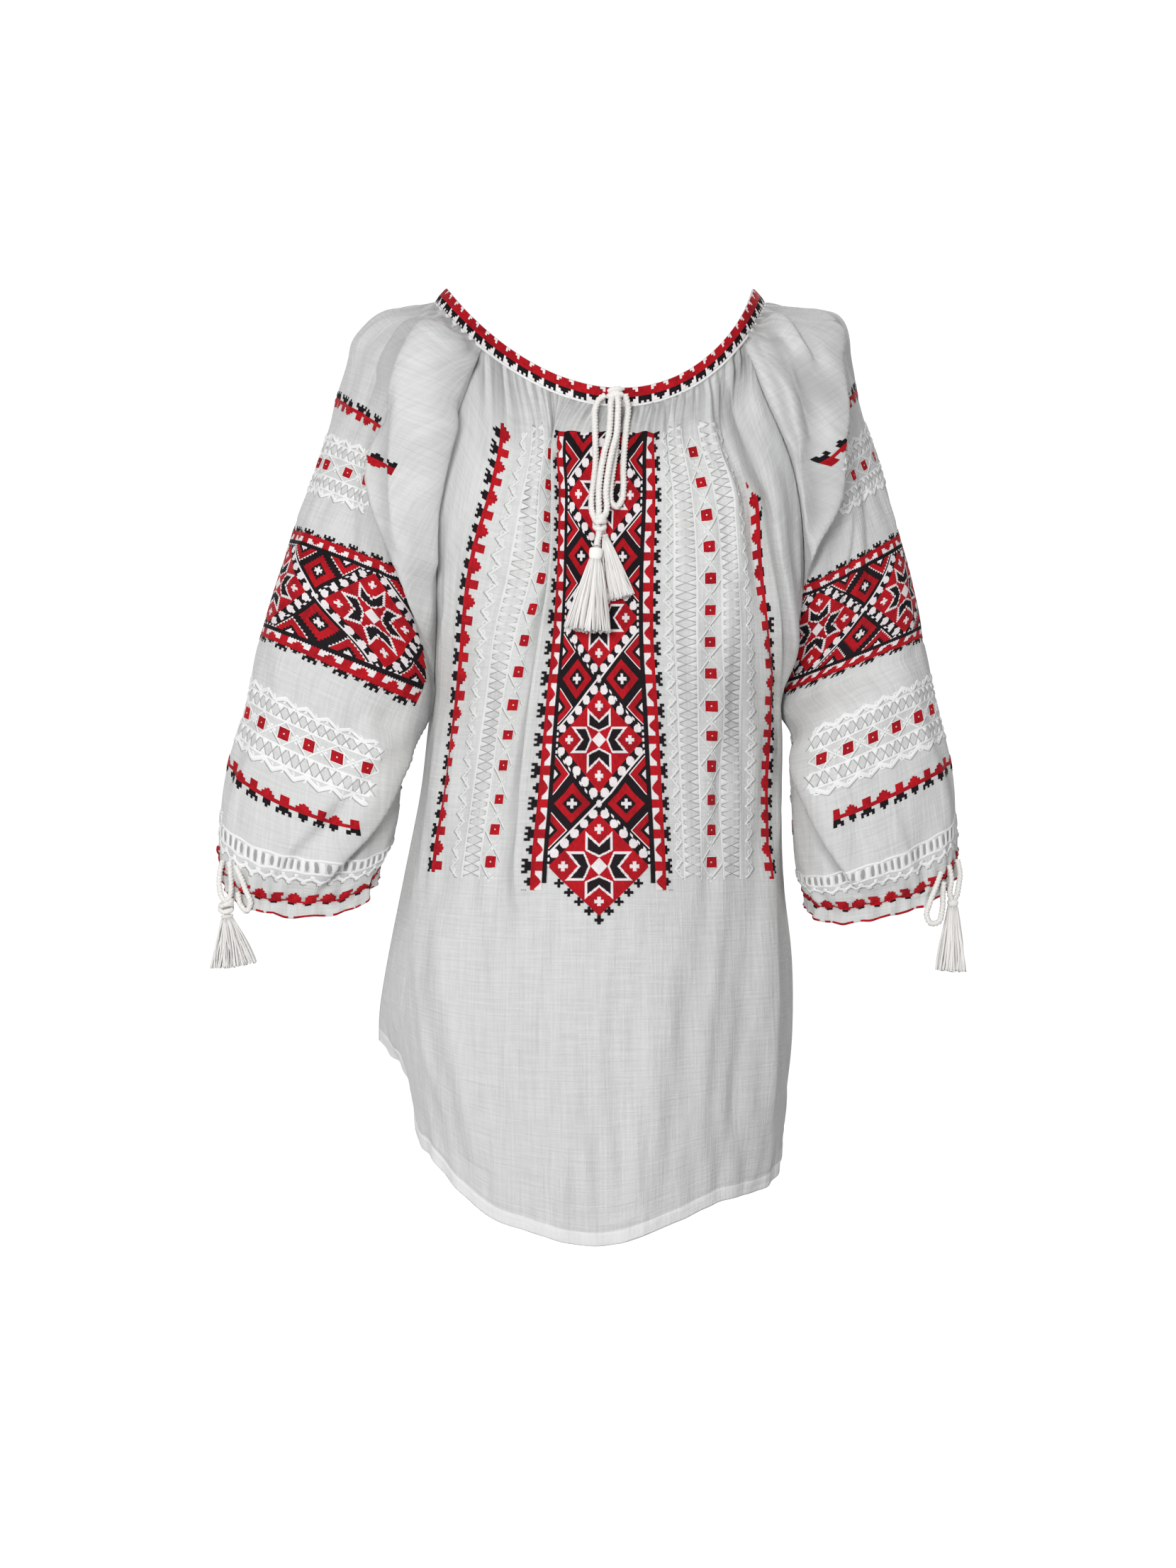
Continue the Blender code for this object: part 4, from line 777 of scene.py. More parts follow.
def cotton_material():
    """Crinkled slub cotton: uneven vertical and horizontal threads, whiter at the turned hem, with painted shade in the
    fold hollows and in the fine pleat valleys.
    """
    m = plain("cotton", (0.68, 0.69, 0.68), 0.88, 0.15)
    tree = m.node_tree
    shader = tree.nodes["Principled BSDF"]
    attr = node(tree, "ShaderNodeAttribute", attribute_name="cloth")
    upright = scaled_noise(tree, attr.outputs["Vector"], (0.55, 0.022, 0.0), 3.0, 0.6)
    level = scaled_noise(tree, attr.outputs["Vector"], (0.030, 0.62, 0.0), 3.0, 0.6)
    crinkle = scaled_noise(tree, attr.outputs["Vector"], (0.17, 0.055, 0.0), 2.0, 0.5)
    fine = scaled_noise(tree, attr.outputs["Vector"], (1.9, 1.9, 0.0), 2.0, 0.5)
    high = math_node(tree, "ADD", math_node(tree, "MULTIPLY", upright, 1.0), math_node(tree, "MULTIPLY", level, 0.75))
    high = math_node(tree, "ADD", high, math_node(tree, "MULTIPLY", crinkle, 0.9))
    high = math_node(tree, "ADD", high, math_node(tree, "MULTIPLY", fine, 0.22))
    painted_shade_and_strand_tone = node(tree, "ShaderNodeAttribute", attribute_name="painted_shade_and_strand_tone")
    # fine pleats that start at the gathered seams: thin valleys, long down the cloth, in the bump and as painted shade
    # in the colour
    seam = node(tree, "ShaderNodeAttribute", attribute_name="seam")
    pleat = scaled_noise(tree, attr.outputs["Vector"], (0.115, 0.009, 0.0), 1.0, 0.4)
    near = node(tree, "ShaderNodeMapRange")
    tree.links.new(seam.outputs["Fac"], near.inputs["Value"])
    near.inputs["From Min"].default_value = 0.0
    near.inputs["From Max"].default_value = 42.0
    near.inputs["To Min"].default_value = 1.0
    near.inputs["To Max"].default_value = 0.0
    near = math_node(tree, "POWER", near.outputs["Result"], 1.2)
    off = math_node(tree, "ABSOLUTE", math_node(tree, "SUBTRACT", pleat, 0.5), 0.0)
    valley = math_node(tree, "SUBTRACT", 1.0, math_node(tree, "MULTIPLY", off, 8.0), clamp=True)
    valley = math_node(tree, "MULTIPLY", valley, near)
    high = math_node(tree, "SUBTRACT", high, math_node(tree, "MULTIPLY", valley, 0.9))
    bump = node(tree, "ShaderNodeBump")
    bump.inputs["Strength"].default_value = 0.40
    bump.inputs["Distance"].default_value = 0.0022
    tree.links.new(high, bump.inputs["Height"])
    tree.links.new(bump.outputs["Normal"], shader.inputs["Normal"])
    parts = node(tree, "ShaderNodeSeparateXYZ")
    tree.links.new(attr.outputs["Vector"], parts.inputs["Vector"])
    hem = math_node(tree, "LESS_THAN", parts.outputs["Z"], 10.0)
    thread = math_node(tree, "MULTIPLY", math_node(tree, "ADD", upright, level), 0.5)
    tone = node(tree, "ShaderNodeMapRange")
    tree.links.new(thread, tone.inputs["Value"])
    tone.inputs["From Min"].default_value = 0.36
    tone.inputs["From Max"].default_value = 0.62
    ground = node(tree, "ShaderNodeMix", data_type="RGBA")
    ground.inputs[6].default_value = (0.600, 0.610, 0.600, 1)
    ground.inputs[7].default_value = (0.710, 0.717, 0.710, 1)
    tree.links.new(tone.outputs["Result"], ground.inputs[0])
    mix = node(tree, "ShaderNodeMix", data_type="RGBA")
    mix.inputs[7].default_value = (0.83, 0.835, 0.83, 1)
    tree.links.new(math_node(tree, "MULTIPLY", hem, 0.85), mix.inputs[0])
    tree.links.new(ground.outputs[2], mix.inputs[6])
    # painted shade: the colour darkens toward dark grey in the pleat valleys and wherever the folds, tucks and seams
    # carry painted shade
    deep = node(tree, "ShaderNodeMix", data_type="RGBA")
    deep.inputs[7].default_value = (0.26, 0.265, 0.26, 1)
    tree.links.new(math_node(tree, "MAXIMUM", math_node(tree, "MULTIPLY", valley, 0.70), math_node(tree, "MULTIPLY", painted_shade_and_strand_tone.outputs["Fac"], 0.56)), deep.inputs[0])
    tree.links.new(mix.outputs[2], deep.inputs[6])
    tree.links.new(deep.outputs[2], shader.inputs["Base Color"])
    return m


def thread_material(name, colour, dark, roughness=0.72, sheen=0.04):
    """Stitched thread: fine strands across the block, slightly uneven in tone."""
    m = plain(name, colour, roughness, sheen)
    tree = m.node_tree
    shader = tree.nodes["Principled BSDF"]
    attr = node(tree, "ShaderNodeAttribute", attribute_name="cloth")
    strand = scaled_noise(tree, attr.outputs["Vector"], (2.6, 0.30, 0.0), 1.0, 0.5)
    patch = scaled_noise(tree, attr.outputs["Vector"], (0.05, 0.05, 0.0), 2.0, 0.5)
    tone = math_node(tree, "ADD", math_node(tree, "MULTIPLY", strand, 0.5), math_node(tree, "MULTIPLY", patch, 0.5))
    span = node(tree, "ShaderNodeMapRange")
    tree.links.new(tone, span.inputs["Value"])
    span.inputs["From Min"].default_value = 0.36
    span.inputs["From Max"].default_value = 0.60
    mix = node(tree, "ShaderNodeMix", data_type="RGBA")
    mix.inputs[6].default_value = (*dark, 1)
    mix.inputs[7].default_value = (*colour, 1)
    tree.links.new(span.outputs["Result"], mix.inputs[0])
    tree.links.new(mix.outputs[2], shader.inputs["Base Color"])
    bump = node(tree, "ShaderNodeBump")
    bump.inputs["Strength"].default_value = 0.35
    bump.inputs["Distance"].default_value = 0.0006
    tree.links.new(strand, bump.inputs["Height"])
    tree.links.new(bump.outputs["Normal"], shader.inputs["Normal"])
    return m


def uneven_tone(m, dark, light):
    """Each strand its own tone."""
    tree = m.node_tree
    tone = node(tree, "ShaderNodeAttribute", attribute_name="painted_shade_and_strand_tone")
    mix = node(tree, "ShaderNodeMix", data_type="RGBA")
    mix.inputs[6].default_value = (*dark, 1)
    mix.inputs[7].default_value = (*light, 1)
    tree.links.new(math_node(tree, "POWER", tone.outputs["Fac"], 0.6), mix.inputs[0])
    tree.links.new(mix.outputs[2], tree.nodes["Principled BSDF"].inputs["Base Color"])


def uneven_twist(m, dark, light):
    """Fine fibres and a mottled tone along the cord."""
    tree = m.node_tree
    place = node(tree, "ShaderNodeTexCoord")
    fibre = scaled_noise(tree, place.outputs["Object"], (900.0, 900.0, 420.0), 2.0, 0.6)
    span = node(tree, "ShaderNodeMapRange")
    tree.links.new(fibre, span.inputs["Value"])
    span.inputs["From Min"].default_value = 0.35
    span.inputs["From Max"].default_value = 0.62
    mix = node(tree, "ShaderNodeMix", data_type="RGBA")
    mix.inputs[6].default_value = (*dark, 1)
    mix.inputs[7].default_value = (*light, 1)
    tree.links.new(span.outputs["Result"], mix.inputs[0])
    tree.links.new(mix.outputs[2], tree.nodes["Principled BSDF"].inputs["Base Color"])
    bump = node(tree, "ShaderNodeBump")
    bump.inputs["Strength"].default_value = 0.3
    bump.inputs["Distance"].default_value = 0.0006
    tree.links.new(fibre, bump.inputs["Height"])
    tree.links.new(bump.outputs["Normal"], tree.nodes["Principled BSDF"].inputs["Normal"])


COTTON = cotton_material()
RED = thread_material("thread_red", (0.50, 0.003, 0.010), (0.27, 0.001, 0.008))
BLACK = thread_material("thread_black", (0.010, 0.006, 0.009), (0.004, 0.003, 0.004), 0.8, 0.0)
WHITE = thread_material("thread_white", (0.84, 0.79, 0.80), (0.72, 0.67, 0.69))
LACE = thread_material("thread_lace", (0.90, 0.905, 0.90), (0.80, 0.805, 0.80))
SOFT_LACE = thread_material("thread_lace_soft", (0.79, 0.80, 0.79), (0.70, 0.71, 0.70))
# painted shadow: the dark grey of the lace slits and of the shadows beside the raised threads
LACE_SHADOW_PAINT = plain("lace_gap", (0.36, 0.36, 0.355), 0.9)
CORD = plain("cord_cotton", (0.86, 0.83, 0.79), 0.75, 0.2)
STRAND = plain("tassel_thread", (0.86, 0.84, 0.81), 0.65, 0.3)
uneven_tone(STRAND, (0.64, 0.63, 0.61), (0.93, 0.91, 0.89))
uneven_twist(CORD, (0.80, 0.78, 0.75), (0.90, 0.88, 0.85))


class Cloth:
    """A displaced grid of cloth, and points on it by cloth coordinates."""

    def __init__(self, points, normal, down, half, down_mm):
        self.points, self.normal, self.down, self.half, self.down_mm = points, normal, down, half, down_mm
        self.rows, self.columns = points.shape[:2]

    def at(self, across, down, high):
        across, down = np.asarray(across, float), np.asarray(down, float)
        row = np.interp(down, self.down_mm, np.arange(self.rows))
        half = np.interp(row, np.arange(self.rows), self.half)
        col = np.clip((across / half + 1) / 2, 0, 1) * (self.columns - 1)
        j = np.clip(row.astype(int), 0, self.rows - 2)
        i = np.clip(col.astype(int), 0, self.columns - 2)
        y, x = (row - j)[..., None], (col - i)[..., None]

        def blend(grid):
            return ((1 - y) * ((1 - x) * grid[j, i] + x * grid[j, i + 1])
                    + y * ((1 - x) * grid[j + 1, i] + x * grid[j + 1, i + 1]))

        return blend(self.points) + unit(blend(self.normal)) * np.asarray(high)[..., None]


def grid_quads(index):
    return np.stack([index[:-1, :-1], index[1:, :-1], index[1:, 1:], index[:-1, 1:]], -1).reshape(-1, 4)


def thick_sheet(name, points, quads, share, cloth, mat, seam=None, painted_shade_and_strand_tone=None):
    """The cloth as a thin shell: the points are its outer surface; share thickens the turned hem."""
    obj = mesh_object(name, points, quads, mat, cloth=cloth, seam=seam, painted_shade_and_strand_tone=painted_shade_and_strand_tone)
    layer = obj.vertex_groups.new(name="thick")
    share = np.asarray(share).reshape(-1)
    for level in (0.35, 1.0):
        chosen = np.nonzero(np.abs(share - level) < 1e-6)[0].tolist()
        if chosen:
            layer.add(chosen, level, "REPLACE")
    wall = obj.modifiers.new("wall", "SOLIDIFY")
    wall.thickness = 1.6 * MM
    wall.offset = -1.0
    wall.vertex_group = "thick"
    return obj


def hem_distance(points):
    """Distance along each column of the grid to its last row."""
    step = np.linalg.norm(np.diff(points, axis=0), axis=-1)
    out = np.zeros(points.shape[:2])
    out[:-1] = np.cumsum(step[::-1], axis=0)[::-1]
    return out


def make_body(face, columns, folds, creases, gather_places, seed):
    table = FRONT_ROWS if face == "front" else BACK_ROWS
    if face == "front":
        v = np.concatenate([np.linspace(0, 0.3, 56), np.linspace(0.3, 1, 64)[1:], np.linspace(1, 1.93, 58)[1:],
                            np.linspace(1.93, 2.0, 26)[1:]])
    else:
        v = np.concatenate([np.linspace(0, 0.3, 34), np.linspace(0.3, 1.93, 90)[1:], np.linspace(1.93, 2.0, 14)[1:]])
    u = np.linspace(-1, 1, columns)
    base = body_surface(face, u, v)
    if face == "front":
        # the hem turns in sharply below the left side seam, then falls
        part = np.clip((u + 1) / (1 - 132.0 / 226.0), 0, 1)
        turn = spline([row[0] for row in HEM_TURN], [row[1:] for row in HEM_TURN], part)
        shift = np.where((part < 1)[:, None], turn - base[-1][:, [0, 2]], 0.0)
        weight = np.clip((v - 1.74) / 0.26, 0, 1)[:, None] ** 1.4
        base[..., 0] += weight * shift[:, 0]
        base[..., 2] += weight * shift[:, 1]
    normal = normals_of(base)
    if normal[len(v) // 2, columns // 2, 1] * (-1 if face == "front" else 1) < 0:
        normal = -normal
    half = half_width(v)
    top = -float(neck_ring([2.0 if face == "front" else 180.0])[0, 2])
    down_mm = np.interp(v, [0.0] + [r[0] for r in table], [top] + [-r[1] for r in table])
    across = u[None, :] * half[:, None]
    down = np.repeat(v[:, None], columns, 1)
    dmm = np.repeat(down_mm[:, None], columns, 1)
    calm = np.clip((1 - np.abs(u[None, :])) / 0.14, 0, 1) * np.clip(down / 0.05, 0, 1)
    points = base + normal * 0.3
    points = crease(points, normal, across, down, folds, calm)
    calm_small = np.clip((1 - np.abs(u[None, :])) / 0.05, 0, 1) * np.clip(down / 0.02, 0, 1)
    painted_shade_and_strand_tone = np.zeros(across.shape)
    if face == "front":
        points = tucks(points, normal, across, dmm, TUCKS_FRONT, calm_small, painted_shade_and_strand_tone)
    points = crease(points, normal, across, dmm, creases, calm_small)
    near_neck = np.clip((1 - np.abs(u[None, :])) / 0.03, 0, 1)
    points = gathers(points, normal, across, dmm, top, gather_places, near_neck)
    embroidered = (np.abs(across) < 60) & (dmm > 112) & (dmm < 484) & (face == "front")
    soft = np.where(embroidered, 0.35, 1.0)
    points = points + normal * (ripple(across, dmm, seed, 1.1, 26.0, 150.0) * calm_small * soft)[..., None]
    # seams pulled in along the raglan and side edges, the top edge under the band
    edge = (1 - np.abs(u[None, :])) * half[:, None]
    points = points - normal * ((0.15 + 0.30 * np.clip((205.0 - dmm) / 40.0, 0, 1)) * np.exp(-(edge / 4.0) ** 2))[..., None]
    left_way, right_way = unit(points[:, 1] - points[:, 0]), unit(points[:, -2] - points[:, -1])
    points[:, 0] -= left_way * 0.12
    points[:, -1] -= right_way * 0.12
    points[0] += unit(points[1] - points[0]) * 0.1
    # turned hem: raised above its stitch line, which puckers
    far = hem_distance(points)
    rng = np.random.default_rng(seed + 7)
    pucker = np.interp(across, np.linspace(-230, 230, 150), rng.uniform(-1, 1, 150))
    raised = 0.35 * (far < 10.0) - 0.55 * np.exp(-((far - 10.6) / 1.3) ** 2) + 0.5 * pucker * np.exp(-((far - 8.0) / 7.0) ** 2)
    wave = np.interp(across, np.linspace(-230, 230, 17), rng.uniform(-1, 1, 17)) * 1.6 * np.exp(-(far / 60.0) ** 2)
    points = points + normal * ((raised + wave) * near_neck)[..., None]
    turned_normal = normals_of(points)
    if (turned_normal[len(v) // 2, columns // 2] * normal[len(v) // 2, columns // 2]).sum() < 0:
        turned_normal = -turned_normal
    index = np.arange(points.shape[0] * points.shape[1]).reshape(points.shape[:2])
    quads = grid_quads(index)
    if face == "back":
        pass
    quads = oriented(points, quads, normal)
    cloth = np.stack([across, dmm, far], -1)
    share = np.where(far < 10.0, 1.0, 0.35)
    # painted shade along the raglan and side seams, strongest about 150 mm down, fading out lower on the body
    painted_seam_shade = 0.02 + 0.50 * np.exp(-((dmm - 150.0) / 34.0) ** 2)
    painted_shade_and_strand_tone = np.maximum(painted_shade_and_strand_tone, painted_seam_shade * np.exp(-(edge / 7.0) ** 1.4) * np.clip((1.25 - down) / 0.2, 0, 1))
    shades(face, across, dmm, painted_shade_and_strand_tone)
    obj = thick_sheet(face, points, quads, share, cloth, COTTON, dmm - top, painted_shade_and_strand_tone)
    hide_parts(face)
    return obj, Cloth(points, turned_normal, v, half, down_mm)


def oriented(points, quads, normal):
    """Turn the faces so that they look the way of the normals."""
    flat, n = points.reshape(-1, 3), normal.reshape(-1, 3)
    q = quads[len(quads) // 2 + 7]
    own = np.cross(flat[q[1]] - flat[q[0]], flat[q[3]] - flat[q[0]])
    return quads if (own * n[q[0]]).sum() > 0 else quads[:, ::-1].copy()


def make_sleeve(name, side, columns, folds, creases, seed):
    corner_t = next(row[0] for row in sleeve_table(side) if row[4] >= 1.0)
    t = np.concatenate([np.linspace(0, 60, 34), np.linspace(60, corner_t, 76)[1:], np.linspace(corner_t, 478, 62)[1:],
                        np.linspace(478, SLEEVE_T_END, 20)[1:]])
    first_tube = int(np.searchsorted(t, corner_t - 1e-6))
    q = np.linspace(-1, 1, columns)
    base = sleeve_surface(side, q, t)
    normal = normals_of(base)
    middle = columns // 2
    if normal[60, middle, 0] * (-1 if side == "left" else 1) < 0:
        normal = -normal
    half = np.interp(t, [row[0] for row in SLEEVE_HALF], [row[1] for row in SLEEVE_HALF])
    across, down = q[None, :] * half[:, None], np.repeat(t[:, None], columns, 1)
    ends = 1 - np.abs(q[None, :])
    calm = np.clip(ends / 0.12, 0, 1) * np.clip(down / 20.0, 0, 1)
    points = base + normal * 0.3
    points = crease(points, normal, across, down, folds, calm)
    tube = np.clip((down - corner_t) / 25.0, 0, 1)
    calm_small = np.maximum(np.clip(ends / 0.05, 0, 1), 0) * np.clip(down / 8.0, 0, 1)
    painted_shade_and_strand_tone = np.zeros(across.shape)
    full, far_down = (6.0, 42.0) if side == "left" else (4.5, 60.0)
    points = points + normal * (full * np.exp(-((down - far_down) / 24.0) ** 2 - (across / 48.0) ** 2))[..., None]
    points = tucks(points, normal, across, down, TUCKS_LEFT_SLEEVE if side == "left" else TUCKS_RIGHT_SLEEVE, calm_small, painted_shade_and_strand_tone)
    points = crease(points, normal, across, down, creases, calm_small)
    near = np.clip(ends / 0.03, 0, 1)
    points = gathers(points, normal, across, down, 0.0, spread(-92, 90, 9.0, seed, 16, 78, 4.4), near * np.where(np.abs(across) < 30, 0.7, 1.0))
    points = gathers(points, normal, across, down, 486.0, spread(-160, 162, 11.5, seed + 1, 12, 62, 3.0, 5.0), near, -1.0)
    soft = np.where((down > 222) & (down < 322), 0.5, 1.0)
    points = points + normal * (ripple(across, down, seed + 2, 1.3, 30.0, 120.0) * calm_small * soft)[..., None]
    # raglan seam pulled in; cuff line drawn in, frill beyond it waves more towards its edge
    edge = ends * half[:, None]
    points = points - normal * ((0.15 + 0.30 * np.clip((170.0 - down) / 40.0, 0, 1)) * np.exp(-(edge / 4.0) ** 2) * (1 - tube))[..., None]
    points = points - normal * (1.6 * np.exp(-((down - 486.0) / 2.2) ** 2))[..., None]
    rng = np.random.default_rng(seed + 3)
    places = np.linspace(-170, 170, 49)
    waves = np.interp(across, places, np.where(np.arange(49) % 2 == 0, 1.0, -1.0) * rng.uniform(0.5, 1.2, 49))
    frill = np.clip((down - 486.0) / 14.0, 0, 1)
    points = points + normal * (2.3 * waves * frill ** 0.9 * near)[..., None]
    points[:, :, 2] += np.interp(across, places, rng.uniform(-1.4, 1.4, 49)) * frill * near
    shift = 0.0 * np.clip((corner_t - t) / 20.0, 0, 1)[:, None]
    points[:, 0] += unit(points[:, 1] - points[:, 0]) * shift
    points[:, -1] += unit(points[:, -2] - points[:, -1]) * shift
    points[0] += unit(points[1] - points[0]) * 0.1
    seam = 0.5 * (points[first_tube:, 0] + points[first_tube:, -1])
    points[first_tube:, 0] = seam
    points[first_tube:, -1] = seam
    turned_normal = normals_of(points)
    if (turned_normal[60, middle] * normal[60, middle]).sum() < 0:
        turned_normal = -turned_normal
    index = np.arange(points.shape[0] * columns).reshape(len(t), columns)
    index[first_tube:, -1] = index[first_tube:, 0]
    quads = grid_quads(index)
    quads = oriented(points, quads, normal)
    used = np.unique(index)
    place = -np.ones(index.size, int)
    place[used] = np.arange(len(used))
    far = SLEEVE_T_END - down
    cloth = np.stack([across, down, far + 60.0], -1).reshape(-1, 3)[used]
    share = np.full(len(used), 0.35)
    seam = np.minimum(down, np.abs(486.0 - down) * 1.3 + 24.0).reshape(-1)[used]
    # painted shade along the raglan seam, strongest about 115 mm down the top line
    painted_seam_shade = 0.02 + 0.50 * np.exp(-((down - 115.0) / 34.0) ** 2)
    painted_shade_and_strand_tone = np.maximum(painted_shade_and_strand_tone, painted_seam_shade * np.exp(-(edge / 7.0) ** 1.4) * (1 - tube))
    shades(name, across, down, painted_shade_and_strand_tone)
    painted_shade_and_strand_tone = painted_shade_and_strand_tone.reshape(-1)[used]
    obj = thick_sheet(name, points.reshape(-1, 3)[used], place[quads], share, cloth, COTTON, seam, painted_shade_and_strand_tone)
    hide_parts(name)
    return obj, Cloth(points, turned_normal, t, half, t)


# ---------------------------------------------------------------- embroidery
def star_chart(s, g, last):
    """Colour of the main panel at s cells across and g cells down from the first star: 0 none,
    1 red, 2 black, 3 white. last is the g of the last star, under which the panel ends."""
    S = np.abs(s)
    k = np.clip(np.round(g / 44.0), 0 if last < 1e5 else -9, np.round(last / 44.0))
    r = g - 44.0 * k
    R = np.abs(r)
    d = S + R
    below = g > last
    code = np.full(s.shape, 2)
    # star field
    field = d <= 18
    code[field] = 1
    x, y = np.minimum(S, R), np.maximum(S, R)
    arm = field & (x <= 5.0) & (y >= 3.0 + 0.48 * x) & (y <= 7.5 + 0.9 * x)
    code[arm] = 3
    code[field & (x <= 4.2) & (y >= 3.8 + 0.45 * x) & (y <= 6.5 + 0.88 * x)] = 2
    code[d <= 2.9] = 3
    code[field & (((x <= 1.65) & (np.abs(y - 12.7) <= 0.6)) | ((x <= 0.6) & (np.abs(y - 12.7) <= 1.65)))] = 3
    # chain of trefoils round the star
    for n in range(5):
        cx = 2.2 + 3.45 * n
        cy = 20.3 - cx
        near = (d > 18) & (d < 22.2) & (np.maximum(np.abs(S - cx), np.abs(R - cy)) <= 1.55) & (np.abs(S - cx) + np.abs(R - cy) <= 2.3)
        code[near] = 3
    line = (np.abs(d - 22.5) <= 0.45)
    along = (s * r) > 0
    code[line & (along | ((S % 2.3) < 1.0))] = 3
    # diamonds between the stars
    L = np.abs(S - 10.4) + np.abs(R - 22.0)
    code[(L <= 7.2) & (d > 23.6)] = 1
    code[L <= 3.8] = 2
    code[(np.abs(S - 10.4) <= 0.6) & (np.abs(R - 22.0) <= 1.9) | (np.abs(S - 10.4) <= 1.9) & (np.abs(R - 22.0) <= 0.6)] = 3
    E = np.abs(S - 19.0) + np.abs(R - 12.25)
    code[(E <= 7.3) & (E > 6.6) & (d > 23.6)] = 3
    code[(E <= 6.7) & (d > 23.6)] = 1
    code[E <= 3.9] = 2
    code[E <= 2.1] = 3
    dot = (S <= 0.7) & (np.abs(R - 21.3) <= 0.7)
    code[dot] = 3
    code[(np.abs(S - 18.2) <= 0.5) & ((R <= 0.6) | (np.abs(R - 2.3) <= 0.6) | (np.abs(R - 4.6) <= 0.6))] = 3
    # below the last star: the red field, a row of crosses and a short stem
    low = below & ~field
    code[low] = 0
    for n in range(5):
        cx, cy = 3.5 * n, 19.6 - 3.4 * n
        plus = (np.minimum(np.abs(S - cx), np.abs(R - cy)) <= 0.55) & (np.maximum(np.abs(S - cx), np.abs(R - cy)) <= 1.6)
        code[low & plus] = 2
    code[low & (S <= 0.6) & (R <= 21.2)] = 2
    # side borders
    m = np.abs(((g + 5.5) % 11.0) - 5.5)
    b = 5.5 - m
    border = S > 18.4
    code[border] = 0
    code[border & (S <= 20.2)] = 2
    inner = border & (S > 20.2) & (S <= 22.6)
    code[inner] = 3
    code[inner & (m <= 1.6)] = 1
    code[inner & (b <= (S - 20.2) * 1.05)] = 1
    code[border & (S > 22.6) & (S <= 24.0)] = 1
    bump = border & (S > 24.0) & (S <= 26.4)
    code[bump & (S <= 24.8) & (m <= 1.5)] = 2
    code[bump & (S > 24.8) & (S <= 25.6) & (m <= 2.5)] = 2
    code[bump & (S > 25.6) & ((m <= 0.5) | (np.abs(m - 2) <= 0.5))] = 2
    code[bump & (S <= 24.8) & (b <= 1.5)] = 2
    code[bump & (S > 24.8) & (S <= 25.6) & (b <= 0.5)] = 2
    code[border & (g > last + 6) & (S <= 20.2)] = 0
    code[border & (g > last + 8.6)] = 0
    code[below & (R > 21.2) & ~border] = 0
    return code


def line_chart(k, g, period=12.0):
    """Narrow border: k cells across its red line (k > 0 the blocks, k < 0 the comb), g cells along."""
    m = np.abs(((g + period / 2) % period) - period / 2)
    b = period / 2 - m
    code = np.zeros(k.shape, int)
    code[(k >= -0.5) & (k <= 1.0)] = 1
    code[(k > 0.5) & (k <= 3.5) & (m <= 1.5)] = 1
    code[(k > 0.5) & (k <= 2.0) & (b <= 2.5)] = 1
    code[(k > 2.0) & (k <= 3.0) & (b <= 1.5)] = 1
    code[(k > 3.0) & (k <= 3.5) & (b <= 0.5)] = 1
    code[(k < -0.5) & (k >= -1.5) & (m <= 1.5)] = 2
    code[(k < -1.5) & (k >= -2.5) & (m <= 2.5)] = 2
    code[(k < -2.5) & (k >= -3.5) & ((m <= 0.5) | (np.abs(m - 2) <= 0.5))] = 2
    code[(k < -0.5) & (k >= -2.5) & (b <= 1.5)] = 2
    code[(k < -2.5) & (k >= -3.5) & (b <= 0.5)] = 2
    return code


